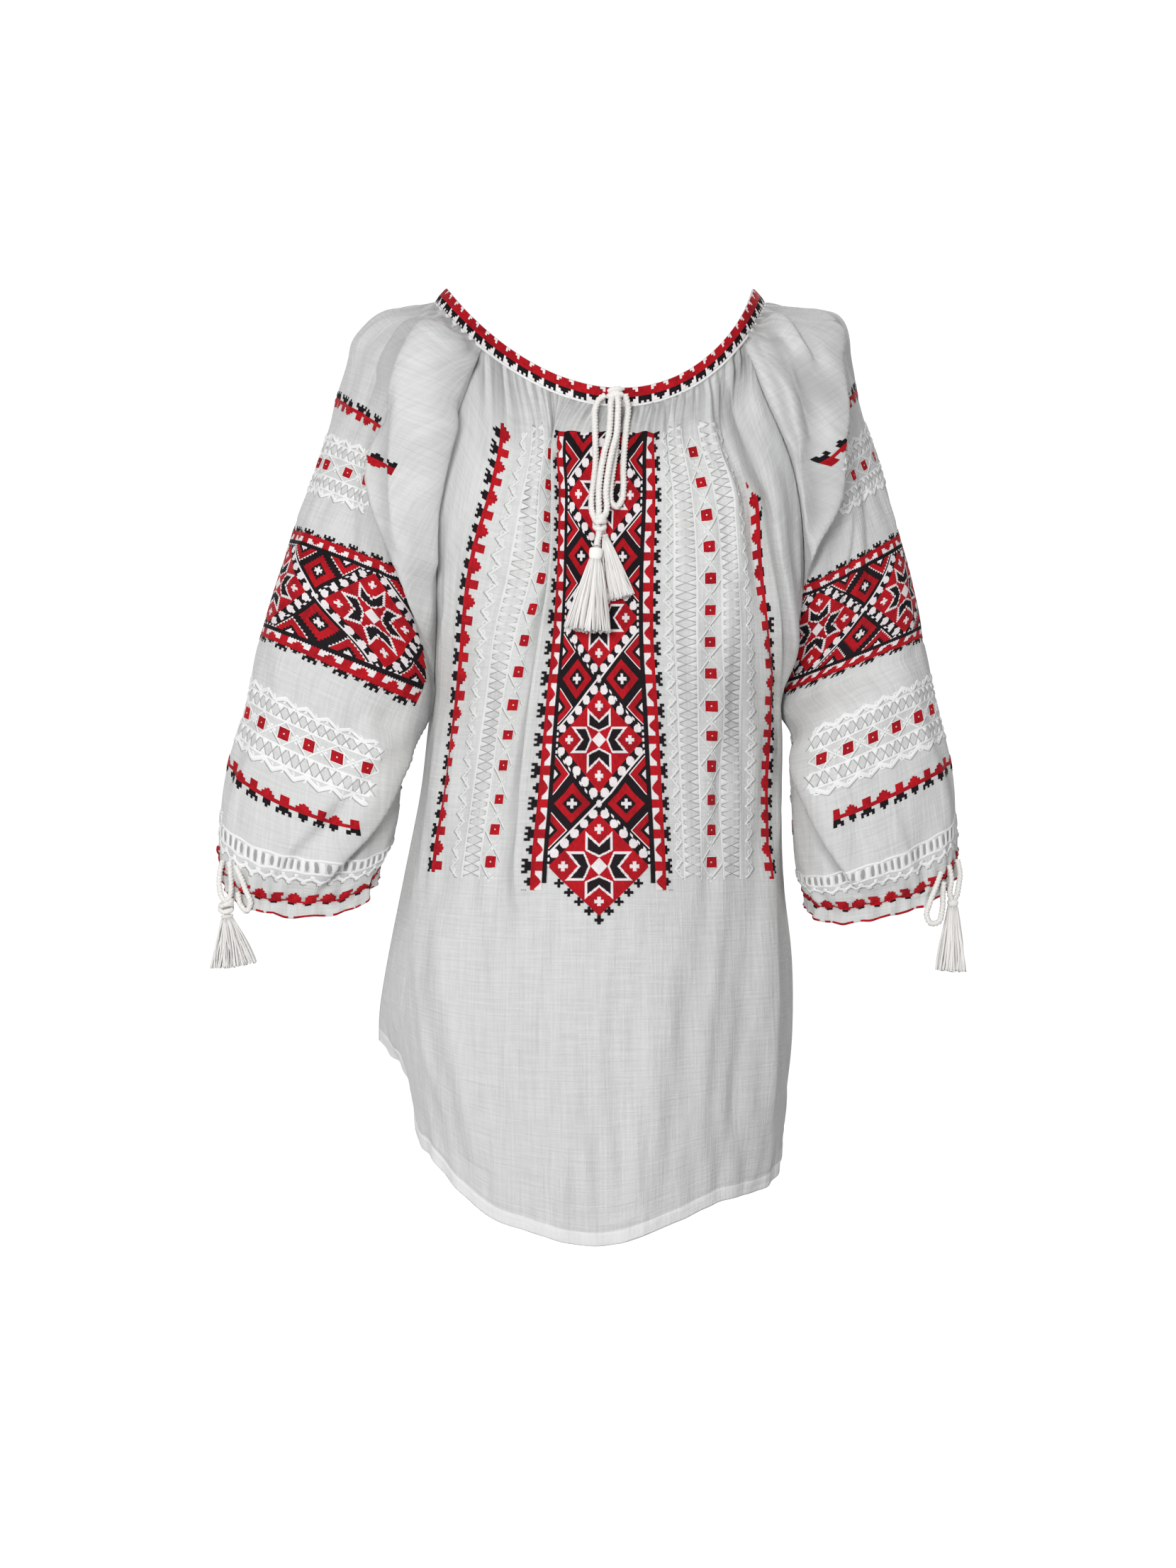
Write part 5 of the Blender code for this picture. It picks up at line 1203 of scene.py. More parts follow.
class Stitches:
    """Collects little raised triangles of stitch by colour, and turns them into joined meshes."""

    def __init__(self):
        self.parts = {1: [], 2: [], 3: []}

    def cells(self, cloth, x_edges, y_edges, chart, place, keep=None, high=0.42, low=0.16, whole=False):
        """x_edges, y_edges: cell edges in chart units; chart(x, y) gives the colour; place(x, y)
        gives cloth coordinates. Each cell is a low pyramid of four triangles."""
        xc, yc = 0.5 * (x_edges[1:] + x_edges[:-1]), 0.5 * (y_edges[1:] + y_edges[:-1])
        X, Y = np.meshgrid(xc, yc)
        dx, dy = x_edges[1] - x_edges[0], y_edges[1] - y_edges[0]
        offsets = ((0, -1 / 3), (1 / 3, 0), (0, 1 / 3), (-1 / 3, 0))
        codes = np.stack([chart(X + (0 if whole else ox) * dx, Y + (0 if whole else oy) * dy) for ox, oy in offsets])
        filled = codes.max(axis=0) > 0
        padded = np.pad(filled, 1)
        corner_full = padded[:-1, :-1] & padded[1:, :-1] & padded[:-1, 1:] & padded[1:, 1:]
        EX, EY = np.meshgrid(x_edges, y_edges)
        a, d = place(EX, EY)
        corners = cloth.at(a, d, np.where(corner_full, high, low))
        a, d = place(X, Y)
        centres = cloth.at(a, d, np.full(X.shape, high + 0.14))
        ok = np.ones(X.shape, bool) if keep is None else keep(a, d)
        rows, cols = X.shape
        jj, ii = np.meshgrid(np.arange(rows), np.arange(cols), indexing="ij")
        ring = [(jj, ii), (jj, ii + 1), (jj + 1, ii + 1), (jj + 1, ii)]
        for n in range(4):
            p0, p1 = corners[ring[n]], corners[ring[(n + 1) % 4]]
            for code in (1, 2, 3):
                chosen = (codes[n] == code) & ok
                if not chosen.any():
                    continue
                tri = np.stack([p0[chosen], p1[chosen], centres[chosen]], 1)
                out = cloth.at(a[chosen], d[chosen], np.full(int(chosen.sum()), 5.0)) - centres[chosen]
                own = np.cross(tri[:, 1] - tri[:, 0], tri[:, 2] - tri[:, 0])
                flip = (own * out).sum(-1) < 0
                tri[flip] = tri[flip][:, [1, 0, 2]]
                cloth_at = np.repeat(np.stack([a[chosen], d[chosen], np.zeros(int(chosen.sum()))], -1)[:, None], 3, 1)
                self.parts[code].append((tri, cloth_at))

    def objects(self, prefix, rides_with):
        made = []
        for code, mat, word in ((1, RED, "red"), (2, BLACK, "black"), (3, WHITE, "white")):
            if not self.parts[code]:
                continue
            tri = np.concatenate([p[0] for p in self.parts[code]]).reshape(-1, 3)
            cloth = np.concatenate([p[1] for p in self.parts[code]]).reshape(-1, 3)
            faces = np.arange(len(tri)).reshape(-1, 3)
            made.append(mesh_object(prefix + "_" + word, tri, faces, mat, smooth=False, cloth=cloth))
        rides_with.extend(made)
        return made


class Whitework:
    """Raised white threads and petals on a cloth, with painted shadow in the slits and beside the threads, joined by
    material.
    """

    def __init__(self, cloth, turn, white=None):
        self.cloth, self.turn = cloth, turn      # turn(along, across) gives cloth coordinates
        self.white = white or LACE
        self.parts = {"lace": [], "gap": [], "red": []}

    def ribbon(self, kind, path, width, high, low=0.08):
        """A low ridge along a path of (along, across) points."""
        path = np.asarray(path, float)
        way = unit(np.gradient(path, axis=0))
        side = np.stack([-way[:, 1], way[:, 0]], -1) * width / 2
        rows = [self.cloth.at(*self.turn(*(path + side * s).T), np.full(len(path), h))
                for s, h in ((-1.0, low), (0.0, high), (1.0, low))]
        points = np.stack(rows, 1)
        index = np.arange(points.shape[0] * 3).reshape(-1, 3)
        self.parts[kind].append((points.reshape(-1, 3), grid_quads(index)))

    def ribbons(self, kind, paths, width, high, low=0.08):
        for path in paths:
            self.ribbon(kind, path, width, high, low)

    def wedge(self, kind, tip, left, right, high):
        """A low raised triangle between three (along, across) points."""
        corners = np.array([tip, left, right], float)
        middle = corners.mean(0)
        inner = middle + (corners - middle) * 0.62
        ring = self.cloth.at(*self.turn(*corners.T), np.full(3, 0.10))
        top = self.cloth.at(*self.turn(*inner.T), np.full(3, high))
        faces = np.array([(0, 1, 4, 3), (1, 2, 5, 4), (2, 0, 3, 5), (3, 4, 5, 5)])
        self.parts[kind].append((np.concatenate([ring, top]), faces))

    def pads(self, kind, centres, half_along, half_across, high, low=0.06, sides=8):
        """Low rounded pads, all alike, at (along, across) centres."""
        centres = np.asarray(centres, float).reshape(-1, 2)
        turn = np.linspace(0, 2 * np.pi, sides + 1)[:-1]
        rim = np.stack([np.cos(turn) * half_along, np.sin(turn) * half_across], -1)
        ring = centres[:, None] + rim[None]
        outer = self.cloth.at(*self.turn(ring[..., 0], ring[..., 1]), np.full(ring.shape[:2], low))
        ring2 = centres[:, None] + rim[None] * 0.6
        inner = self.cloth.at(*self.turn(ring2[..., 0], ring2[..., 1]), np.full(ring.shape[:2], high * 0.85))
        middle = self.cloth.at(*self.turn(centres[:, 0], centres[:, 1]), np.full(len(centres), high))
        block = np.concatenate([outer, inner, middle[:, None]], 1)
        per = 2 * sides + 1
        one_q = np.array([(k, (k + 1) % sides, sides + (k + 1) % sides, sides + k) for k in range(sides)])
        one_t = np.array([(sides + k, sides + (k + 1) % sides, 2 * sides) for k in range(sides)])
        base = (np.arange(len(centres)) * per)[:, None, None]
        quads, tris = (one_q[None] + base).reshape(-1, 4), (one_t[None] + base).reshape(-1, 3)
        both = np.concatenate([quads, np.concatenate([tris, tris[:, 2:]], 1)])
        self.parts[kind].append((block.reshape(-1, 3), both))

    def objects(self, prefix, rides_with):
        for kind, mat, slot_name in (("lace", self.white, "cotton"), ("gap", LACE_SHADOW_PAINT, "cotton"), ("red", RED, "stitch_red")):
            if not self.parts[kind]:
                continue
            points, faces, count = [], [], 0
            for p, f in self.parts[kind]:
                points.append(p)
                faces.append(f + count)
                count += len(p)
            points, faces = np.concatenate(points), np.concatenate(faces)
            triangle = faces[:, 2] == faces[:, 3]
            obj = mesh_object(prefix + "_" + kind, points, [faces[~triangle], faces[triangle][:, :3]], mat)
            rides_with.append(obj)


def lace_band(work, first, last, squares, step, ladders, vines, keep, bold=False):
    """Whitework along a band: bordered squares linked by rhombs, ladders of petals, scrolling vines.
    along runs from first to last; the offsets across are from the line of squares."""
    # squares' thin rims and centre dots, rhombs round and between them
    for at in squares:
        if not keep(at):
            continue
        h = 4.1
        work.ribbon("lace", [(at - h, -h), (at + h, -h), (at + h, h), (at - h, h), (at - h, -h + 0.01)], 0.9, 0.62, 0.3)
        rhomb = [(at - step / 2, 0), (at, -8.0), (at + step / 2, 0), (at, 8.0), (at - step / 2, 0.01)]
        fine = []
        for (x0, y0), (x1, y1) in zip(rhomb[:-1], rhomb[1:]):
            fine += [(x0 + (x1 - x0) * k / 5, y0 + (y1 - y0) * k / 5) for k in range(5)]
        # painted shadow beside the rhomb line
        work.ribbon("gap", [(x + 0.5, y + 0.4) for x, y in fine + [rhomb[-1]]], 1.3, 0.14, 0.05)
        work.ribbon("lace", fine + [rhomb[-1]], 1.2, 0.75)
        work.pads("lace", [(at + step / 2 - 2.6, 0), (at + step / 2 + 2.6, 0), (at + step / 2, 2.4), (at + step / 2, -2.4)], 1.2, 1.0, 0.5)
    rung = 6.7
    for where, wide in ladders:
        spots = [a for a in np.arange(first + rung / 2, last, rung) if keep(a)]
        if not spots:
            continue
        spots = np.array(spots)
        for at in spots:
            # bow-tie of white thread between two petals, with painted shadow as a dark slit round it
            for sgn in (-1, 1):
                tip, base = where, where + sgn * wide / 2
                work.wedge("gap", (at - rung / 2, tip - sgn * 0.6), (at - rung / 2 - 3.1, base), (at - rung / 2 + 3.1, base), 0.18)
                work.wedge("lace", (at - rung / 2, tip + sgn * 0.3), (at - rung / 2 - 2.3, base), (at - rung / 2 + 2.3, base), 0.95)
        for sgn in (-1, 1):
            edge = [(a, where + sgn * (wide / 2 + 0.6)) for a in np.linspace(first, last, max(8, int((last - first) / 3))) if keep(a)]
            if len(edge) > 3:
                work.ribbon("lace", edge, 1.4, 0.6)
    for where, facing in vines:
        period, wave, thick = (15.5, 2.5, 2.7) if bold else (13.2, 3.1, 1.7)
        a = np.arange(first, last, 0.9)
        a = a[[bool(keep(v)) for v in a]]
        if len(a) < 8:
            continue
        phase = 2 * np.pi * a / period
        line = np.stack([a + 0.9 * np.sin(2 * phase), where + wave * np.sin(phase) * facing], -1)
        # painted shadow beside the vine
        work.ribbon("gap", line + np.array([0.35, 0.45]), thick + 0.4, 0.14, 0.05)
        work.ribbon("lace", line, thick, 1.0)
        curls = []
        centre = np.arange(first + period / 4, last, period / 2)
        for n, c in enumerate(centre):
            if not keep(c):
                continue
            sign = 1 if n % 2 == 0 else -1
            turn = np.linspace(0, 1.5 * np.pi, 10)
            radius = np.linspace(2.4, 0.9, 10)
            curls.append(np.stack([c + np.cos(turn) * radius, where - sign * facing * (0.6 - np.sin(turn) * radius)], -1))
        work.ribbons("lace", curls, 1.25, 0.8)


# ---------------------------------------------------------------- cords, knots and tassels
def along(path, step):
    path = np.asarray(path, float)
    length = np.concatenate([[0], np.cumsum(np.linalg.norm(np.diff(path, axis=0), axis=1))])
    count = max(6, int(length[-1] / step) + 1)
    return spline(length, path, np.linspace(0, length[-1], count))


def frames_on(points):
    """Two directions across a path, carried along it without twisting."""
    tangent = unit(np.gradient(points, axis=0))
    start = np.cross(tangent[0], (0.0, 1.0, 0.0))
    if np.linalg.norm(start) < 0.1:
        start = np.cross(tangent[0], (1.0, 0.0, 0.0))
    first = [start / np.linalg.norm(start)]
    for t in tangent[1:]:
        f = first[-1] - t * np.dot(first[-1], t)
        first.append(f / np.linalg.norm(f))
    first = np.array(first)
    return first, np.cross(tangent, first)


def tube_parts(points, radius, sides, twist=None, plies=3, deep=0.12, taper=None):
    """Vertices and quads of a tube; twist is the pitch of its plies in millimetres."""
    one, two = frames_on(points)
    length = np.concatenate([[0], np.cumsum(np.linalg.norm(np.diff(points, axis=0), axis=1))])
    angle = np.linspace(0, 2 * np.pi, sides + 1)[:-1]
    r = np.full((len(points), sides), float(radius))
    if twist:
        phase = angle[None, :] * plies - 2 * np.pi * plies * length[:, None] / twist
        r = r * (1 + deep * (np.abs(np.cos(phase / 2)) * 2 - 1.35))
    if taper is not None:
        r = r * taper[:, None]
    verts = points[:, None] + r[..., None] * (np.cos(angle)[None, :, None] * one[:, None] + np.sin(angle)[None, :, None] * two[:, None])
    index = np.arange(len(points) * sides).reshape(len(points), sides)
    wrap = np.concatenate([index, index[:, :1]], 1)
    quads = grid_quads(wrap)[:, ::-1]
    start, end = len(points) * sides, len(points) * sides + 1
    caps = [(start, index[0, k], index[0, (k + 1) % sides]) for k in range(sides)]
    caps += [(end, index[-1, (k + 1) % sides], index[-1, k]) for k in range(sides)]
    verts = np.concatenate([verts.reshape(-1, 3), points[:1], points[-1:]])
    return verts, quads, np.array(caps)


def joined(name, parts, mat, uneven=None):
    verts, quads, caps, count = [], [], [], 0
    tone = None
    if uneven is not None:
        tone = np.concatenate([np.full(len(part[0]), uneven.random()) for part in parts])
    for v, q, c in parts:
        verts.append(v)
        quads.append(q + count)
        caps.append(c + count)
        count += len(v)
    return mesh_object(name, np.concatenate(verts), [np.concatenate(quads), np.concatenate(caps)], mat, painted_shade_and_strand_tone=tone)


# points a little inside the knots, where the cords go in
INTO_KNOTS = {"neck_cord_b": ((8.8, -114.5, -89.1), (-1.0, -135.3, -178.4)),
              "neck_cord_c": ((12.7, -114.5, -89.1), (3.2, -136.0, -178.3))}


def cord_piece(name, path, thick):
    points = along(path, 0.7)
    first, last = INTO_KNOTS.get(name, (None, None))
    shown = along([first] + list(path) + [last], 0.7) if first else points
    piece = joined(name, [tube_parts(shown, thick / 2, 20, twist=7.6, plies=3, deep=0.28)], CORD)
    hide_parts(*CORD_NODES.get(name, (name,)))
    length = float(np.linalg.norm(np.diff(points, axis=0), axis=1).sum()) * MM
    return piece, points, length


def knot_piece(name):
    """An overhand knot: turns of the cord lying round each other, with a pulled-in middle."""
    (cx, cy, cz), radius, high = KNOTS[name]
    cord = (CORD_NECK if name.startswith("neck") else CORD_CUFF) * 0.92
    turn = np.linspace(0, 2 * np.pi, 34)
    parts = []
    r = max(radius - cord * 0.42, 1.4)
    tilts = ((0.0, 0.55, -high * 0.20), (2.1, -0.50, high * 0.20), (4.0, 0.30, 0.0)) if high > 9 else ((0.4, 0.5, 0.0), (2.6, -0.6, 0.4))
    for start, tilt, lift in tilts:
        x = r * np.cos(turn + start)
        y = r * 0.85 * np.sin(turn + start)
        z = lift + tilt * r * np.sin(turn)
        points = np.stack([cx + x, cy + y, cz + z], -1)[:-1]
        parts.append(tube_parts(points, cord * 0.46, 12, twist=7.0, plies=3))
    if name == "neck_knot":
        # the turn that takes in both cords from above
        points = np.stack([cx + 1.4 + 3.3 * np.cos(turn), cy + 0.2 + 2.4 * np.sin(turn), cz + 4.9 + 0.8 * np.cos(turn)], -1)[:-1]
        parts.append(tube_parts(points, cord * 0.44, 12, twist=7.0, plies=3))
    if name == "neck_bow":
        # the turn in front, over the cords that come out of the knot
        for lift, wide in ((-3.4, 5.0), (0.6, 4.2)):
            points = np.stack([cx + wide * np.cos(turn), cy - 1.6 + 1.9 * np.sin(turn), cz + lift + 0.9 * np.cos(turn + 0.8)], -1)[:-1]
            parts.append(tube_parts(points, cord * 0.44, 12, twist=7.0, plies=3))
    piece = joined(name, parts, CORD)
    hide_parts(name)
    return piece


def tassel_piece(name, strands, seed):
    """A bound head and loose strands that spread to an uneven cut end."""
    top, bottom, wide, deep, head, head_long, waist = TASSELS[name]
    top, bottom = np.array(top), np.array(bottom)
    rng = np.random.default_rng(seed)
    axis = unit(bottom - top)
    side = unit(np.array([1.0, 0, 0]) - axis * axis[0])
    ahead = np.cross(side, axis)
    long = float(np.linalg.norm(bottom - top))
    parts = []
    # head: a rounded binding of many turns
    angle = np.linspace(0, 2 * np.pi, 21)[:-1]
    level = np.linspace(0, 1, 22)
    shape = np.sqrt(np.clip(1 - np.abs(level * 2 - 0.85) ** 3.2, 0.05, 1)) * (1 - 0.12 * level)
    ridge = 1 + 0.035 * np.cos(level * head_long * 2 * np.pi / 1.1)
    r = head * shape * ridge
    r[0] = head * 0.18
    depth = 0.62
    ring = (top[None, None] + axis * (level * head_long)[:, None, None]
            + r[:, None, None] * (np.cos(angle)[None, :, None] * side + depth * np.sin(angle)[None, :, None] * ahead))
    index = np.arange(22 * 20).reshape(22, 20)
    quads = grid_quads(np.concatenate([index, index[:, :1]], 1))
    ends = np.array([(440, index[0, k], index[0, (k + 1) % 20]) for k in range(20)] + [(441, index[-1, (k + 1) % 20], index[-1, k]) for k in range(20)])
    parts.append((np.concatenate([ring.reshape(-1, 3), ring[0].mean(0)[None], ring[-1].mean(0)[None]]), quads, ends))
    # strands
    for n in range(strands):
        share = (n + 0.5) / strands
        phi = n * 2.399963
        rho = np.sqrt(share)
        start = (np.cos(phi) * side * rho + np.sin(phi) * ahead * rho * 0.62) * waist * 0.42
        spread_x = np.cos(phi) * rho * wide * 0.47 + rng.normal(0, wide * 0.014)
        spread_y = np.sin(phi) * rho * wide * 0.47 * deep
        cut = long * (1 + rng.normal(0, 0.012)) - 0.06 * abs(spread_x)
        s = np.linspace(0, 1, 10)
        open_out = s ** rng.uniform(0.85, 1.12)
        sway = rng.normal(0, 0.7) * np.sin(np.pi * s) + rng.normal(0, 0.35) * np.sin(2 * np.pi * s)
        line = (top + axis * (head_long * 0.82 + (cut - head_long * 0.82) * s)[:, None] + start * (1 - open_out)[:, None]
                + side * (spread_x * open_out + sway)[:, None] + ahead * (spread_y * open_out)[:, None])
        thick = rng.uniform(0.55, 0.8)
        parts.append(tube_parts(line, thick, 6, taper=np.linspace(1, 1.1, 10)))
    piece = joined(name, parts, STRAND, rng)
    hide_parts(name)
    return piece


cord_lengths = {}
neck_pieces = {}
for cord_name, cord_path in NECK_CORDS.items():
    neck_pieces[cord_name] = cord_piece(cord_name, cord_path, CORD_NECK)
cuff_pieces = {}
for cord_name, cord_path in CUFF_CORDS.items():
    cuff_pieces[cord_name] = cord_piece(cord_name, cord_path, CORD_CUFF)
knots = {n: knot_piece(n) for n in KNOTS}
tassels = {n: tassel_piece(n, count, seed) for n, count, seed in
           (("neck_tassel_a", 110, 3), ("neck_tassel_b", 60, 5), ("cuff_tassel_right", 84, 8), ("cuff_tassel_left", 84, 11))}


def declare(pieces, name):
    piece, points, length = pieces[name]
    cord_lengths[name] = round(length, 4)


declare(neck_pieces, "neck_cord_a")
declare(neck_pieces, "neck_cord_b")
declare(neck_pieces, "neck_cord_c")
declare(neck_pieces, "neck_loop")
declare(cuff_pieces, "cuff_cord_right")
declare(cuff_pieces, "cuff_loop_right")
declare(cuff_pieces, "cuff_cord_left")
declare(cuff_pieces, "cuff_loop_left")

# ---------------------------------------------------------------- cloth
front_obj, front = make_body("front", 216, FOLDS_FRONT, CREASES_FRONT, spread(-146, 146, 9.4, 21, 14, 66, 6.0), 31)
back_obj, back = make_body("back", 120, FOLDS_BACK, CREASES_BACK, spread(-144, 146, 10.0, 22, 16, 86, 5.6), 41)
sleeve_r_obj, sleeve_r = make_sleeve("sleeve_right", "left", 176, FOLDS_LEFT_SLEEVE, CREASES_LEFT_SLEEVE, 51)
sleeve_l_obj, sleeve_l = make_sleeve("sleeve_left", "right", 176, FOLDS_RIGHT_SLEEVE, CREASES_RIGHT_SLEEVE, 61)

# front embroidery: the panel and the two side lines
front_on, back_on, sleeve_r_on, sleeve_l_on = [], [], [], []
stitches = Stitches()
LAST_STAR = 132.0
half_cell = np.arange(-26.5, 26.51, 0.5)
stitches.cells(front, half_cell, np.arange(-22.5, LAST_STAR + 22.01, 0.5),
               lambda x, y: star_chart(x, y, LAST_STAR),
               lambda x, y: (x * CELL_ACROSS, STAR_TOP + y * CELL_DOWN))

def line_place(sign, x, y):
    """The side lines bend with the cloth: the left one lies a little further in at mid height."""
    d = STAR_TOP + y * 2.09
    inward = 4.0 * np.exp(-((d - 235.0) / 80.0) ** 2) if sign < 0 else 0.0
    slope = 0.55 * np.clip((205.0 - d) / 90.0, 0, 1) if sign < 0 else 0.0
    return sign * (LINE_AT + 1.0 - inward + x * 2.0), d + x * 2.0 * slope


for sign, first_row, last_row in ((-1, -21.0, 134.0), (1, -20.0, 136.0)):
    stitches.cells(front, np.arange(-3.5, 3.51, 0.5), np.arange(first_row - 0.5, last_row + 0.51, 1.0),
                   lambda x, y: line_chart(-x, y),
                   lambda x, y, sign=sign: line_place(sign, x, y), whole=True,
                   keep=lambda a, d, sign=sign: (a < np.interp(d, *np.array(LINE_SHOWN, float).T)) | (sign < 0))
stitches.objects("front_stitch", front_on)


def square_chart(x, y):
    """A small red square with one white stitch in its middle."""
    return np.where((np.abs(x) < 0.1) & (np.abs(y) < 0.1), 3, 1)


def front_lace(sign):
    work = Whitework(front, lambda along_, across_: (sign * (SQUARES_AT + across_), along_), SOFT_LACE)
    squares = [132.5 + 23.2 * n for n in range(14)]
    inner = ((LADDER_IN - SQUARES_AT, 12.0),) if sign > 0 else ()        # on the left it lies in the tuck
    lace_band(work, 114.0, 447.0, squares, 23.2, inner + ((LADDER_OUT - SQUARES_AT, 12.0),),
              ((VINE_AT - SQUARES_AT, 1.0),) + (((-25.5, -1.0),) if sign > 0 else ()), lambda a: True)
    work.objects("front_lace_" + ("r" if sign < 0 else "l"), front_on)
    patch = Stitches()
    for at in squares:
        patch.cells(front, np.arange(-4.5, 4.51, 1.0), np.arange(-4.5, 4.51, 1.0), square_chart,
                    lambda x, y, at=at: (sign * SQUARES_AT + x * 0.93, at + y * 0.93), whole=True)
    patch.objects("front_square_" + ("r" if sign < 0 else "l"), front_on)


front_lace(-1)
front_lace(1)


def cuff_chart(x, y):
    """Red squares and buds by turns, joined by a thread, with a little black below each."""
    m = np.abs(((y - 0.25 * x + 4.0) % 8.0) - 4.0)
    square = np.abs(((y + 8.0) % 16.0) - 8.0) < 4.0
    code = np.zeros(x.shape, int)
    code[(x > 0.5) & (x < 1.5)] = 1
    code[(x >= -3.1) & (x <= 2.1) & (m <= 2.7) & square] = 1
    code[(np.abs(x + 0.5) + m <= 4.4) & (m <= 3.0) & ~square] = 1
    code[(x > 2.2) & (x < 3.2) & (m <= 1.7)] = 2
    return code


def sleeve_work(name, cloth, on, shown, cell, star_at, lines, puff_line, laces, cuff_spots):
    """shown: (down, across) edge of the tuck over the bands. lines, laces: where the bands run."""
    work = Stitches()
    edge_down, edge_across = np.array(shown, float).T

    def in_cloth(a, d):
        return np.abs(a) < np.interp(d, cloth.down_mm, cloth.half) - 0.6

    def outside(a, d):
        return in_cloth(a, d) & (a > np.interp(d, edge_down, edge_across))

    g_edges = np.arange(-96.5, 96.51, 1.0)
    work.cells(cloth, np.arange(-26.5, 26.51, 1.0), g_edges,
               lambda x, y: star_chart(x, y, 1e6),
               lambda x, y: (star_at + y * cell, SLEEVE_BAND + x * SLEEVE_CELL_DOWN), keep=outside)
    for at, slope, flip, inner in lines:
        work.cells(cloth, np.arange(-3.5, 3.51, 0.5), g_edges,
                   lambda x, y: line_chart(x, y),
                   lambda x, y, at=at, flip=flip, slope=slope: (y * 1.95, at - slope * np.minimum(y * 1.95, 0) + flip * x * 1.8),
                   keep=lambda a, d, inner=inner: outside(a, d) & (a > inner), whole=True)
    at, start, end = puff_line
    work.cells(cloth, np.arange(-3.5, 3.51, 0.5), np.arange(-0.5, (end - start) / 1.95, 1.0),
               lambda x, y: line_chart(x, y),
               lambda x, y: (start + y * 1.95, at + x * 1.8), keep=in_cloth, whole=True)
    # cuff line: little red blocks joined by a thread
    work.cells(cloth, np.arange(-4.5, 4.51, 1.0), np.arange(-112.5, 112.51, 1.0),
               cuff_chart, lambda x, y: (y * 1.5, CUFF_LINE - 1.5 + x * 1.3 + 0.8 * np.sin(y * 0.39)), keep=in_cloth,
               whole=True, high=0.9, low=0.5)
    # frill edge: thin overlocked red
    work.cells(cloth, np.arange(-0.5, 0.51, 0.5), g_edges,
               lambda x, y: np.where(np.sin(y * 1.3) + np.sin(y * 0.47 + 1.0) > -0.9, 1, 0),
               lambda x, y: (y * 1.85, 499.0 + x * 1.8), keep=in_cloth, high=0.4, low=0.15)
    work.objects(name + "_stitch", on)
    lace_at = [0.0, 0.0]
    lace = Whitework(cloth, lambda along_, across_: (along_, lace_at[0] + across_ - lace_at[1] * np.minimum(along_, 0)))
    patch = Stitches()
    for at, ladder, first, step, slope, inner in laces:
        lace_at[0], lace_at[1] = at, slope
        reach = float(np.interp(at, cloth.down_mm, cloth.half)) - 3.0
        limit = float(np.interp(at, edge_down, edge_across)) if at < edge_down[-1] else -reach
        start = max(-reach, limit + 2.0, inner)
        squares = [first + step * n for n in range(-12, 16)]
        squares = [v for v in squares if start + 5 < v < reach - 5]
        lace_band(lace, start, reach, squares, step, ((-ladder, 9.0), (ladder, 9.0)),
                  ((-ladder - 8.6, -1.0), (ladder + 8.6, 1.0)), lambda a: True, bold=True)
        for v in squares:
            patch.cells(cloth, np.arange(-4.5, 4.51, 1.0), np.arange(-4.5, 4.51, 1.0), square_chart,
                        lambda x, y, v=v, at=at, slope=slope: (v + x * 0.93, at + y * 0.93 - slope * min(v, 0.0)), whole=True)
    # cuff lace: a row of small rungs
    lace_at[0], lace_at[1] = CUFF_LACE, 0.0
    rng = np.random.default_rng(int(abs(star_at)))
    spots = np.arange(-164.0, 164.0, 5.2)
    tall = 3.9 + 0.5 * np.sin(spots * 0.31)
    for spot, high in zip(spots, tall):
        # painted shadow in the openings between the rungs
        lace.pads("gap", [(spot + rng.uniform(-0.3, 0.3), 0.0)], 1.15, high, 0.12, 0.05)
        lace.ribbon("lace", [(spot + 2.6, -high - 0.6), (spot + 2.6 + rng.uniform(-0.4, 0.4), 0.0), (spot + 2.6, high + 0.8)], 2.5, 0.95)
    wander = np.linspace(-166, 166, 150)
    lace.ribbon("lace", np.stack([wander, 5.0 + 0.5 * np.sin(wander * 0.4)], -1), 1.7, 0.8)
    lace.ribbon("lace", np.stack([wander, -5.0 + 0.5 * np.sin(wander * 0.33)], -1), 1.7, 0.8)
    turn = np.arange(-166, 166, 0.7)
    curl = np.stack([turn + 1.9 * np.sin(turn * 2 * np.pi / 4.6), 10.4 + 2.9 * np.sin(turn * 2 * np.pi / 9.2)], -1)
    # painted shadow beside the curl
    lace.ribbon("gap", curl + np.array([0.5, 0.7]), 2.7, 0.16, 0.05)
    lace.ribbon("lace", curl, 2.3, 1.1)
    lace.objects(name + "_lace", on)
    patch.objects(name + "_square", on)


sleeve_work("sleeve_right", sleeve_r, sleeve_r_on, SHOWN_LEFT, 1.93, -24.0, ((122.0, 0.08, 1.0, -400.0), (413.0, 0.08, -1.0, -118.0)),
            (154.0, -113.0, -90.0), ((175.0, 13.5, -57.0, 25.0, 0.0, -400.0), (371.0, 13.5, -42.0, 18.6, 0.065, -122.5)), None)
sleeve_work("sleeve_left", sleeve_l, sleeve_l_on, SHOWN_RIGHT, 2.0, -54.0, ((114.0, 0.0, 1.0, -400.0), (413.0, 0.0, -1.0, -118.0)),
            (133.0, -115.0, -86.0), ((166.0, 13.5, -111.0, 26.0, 0.0, -400.0), (369.5, 13.5, -47.0, 18.6, 0.0, -130.5)), None)


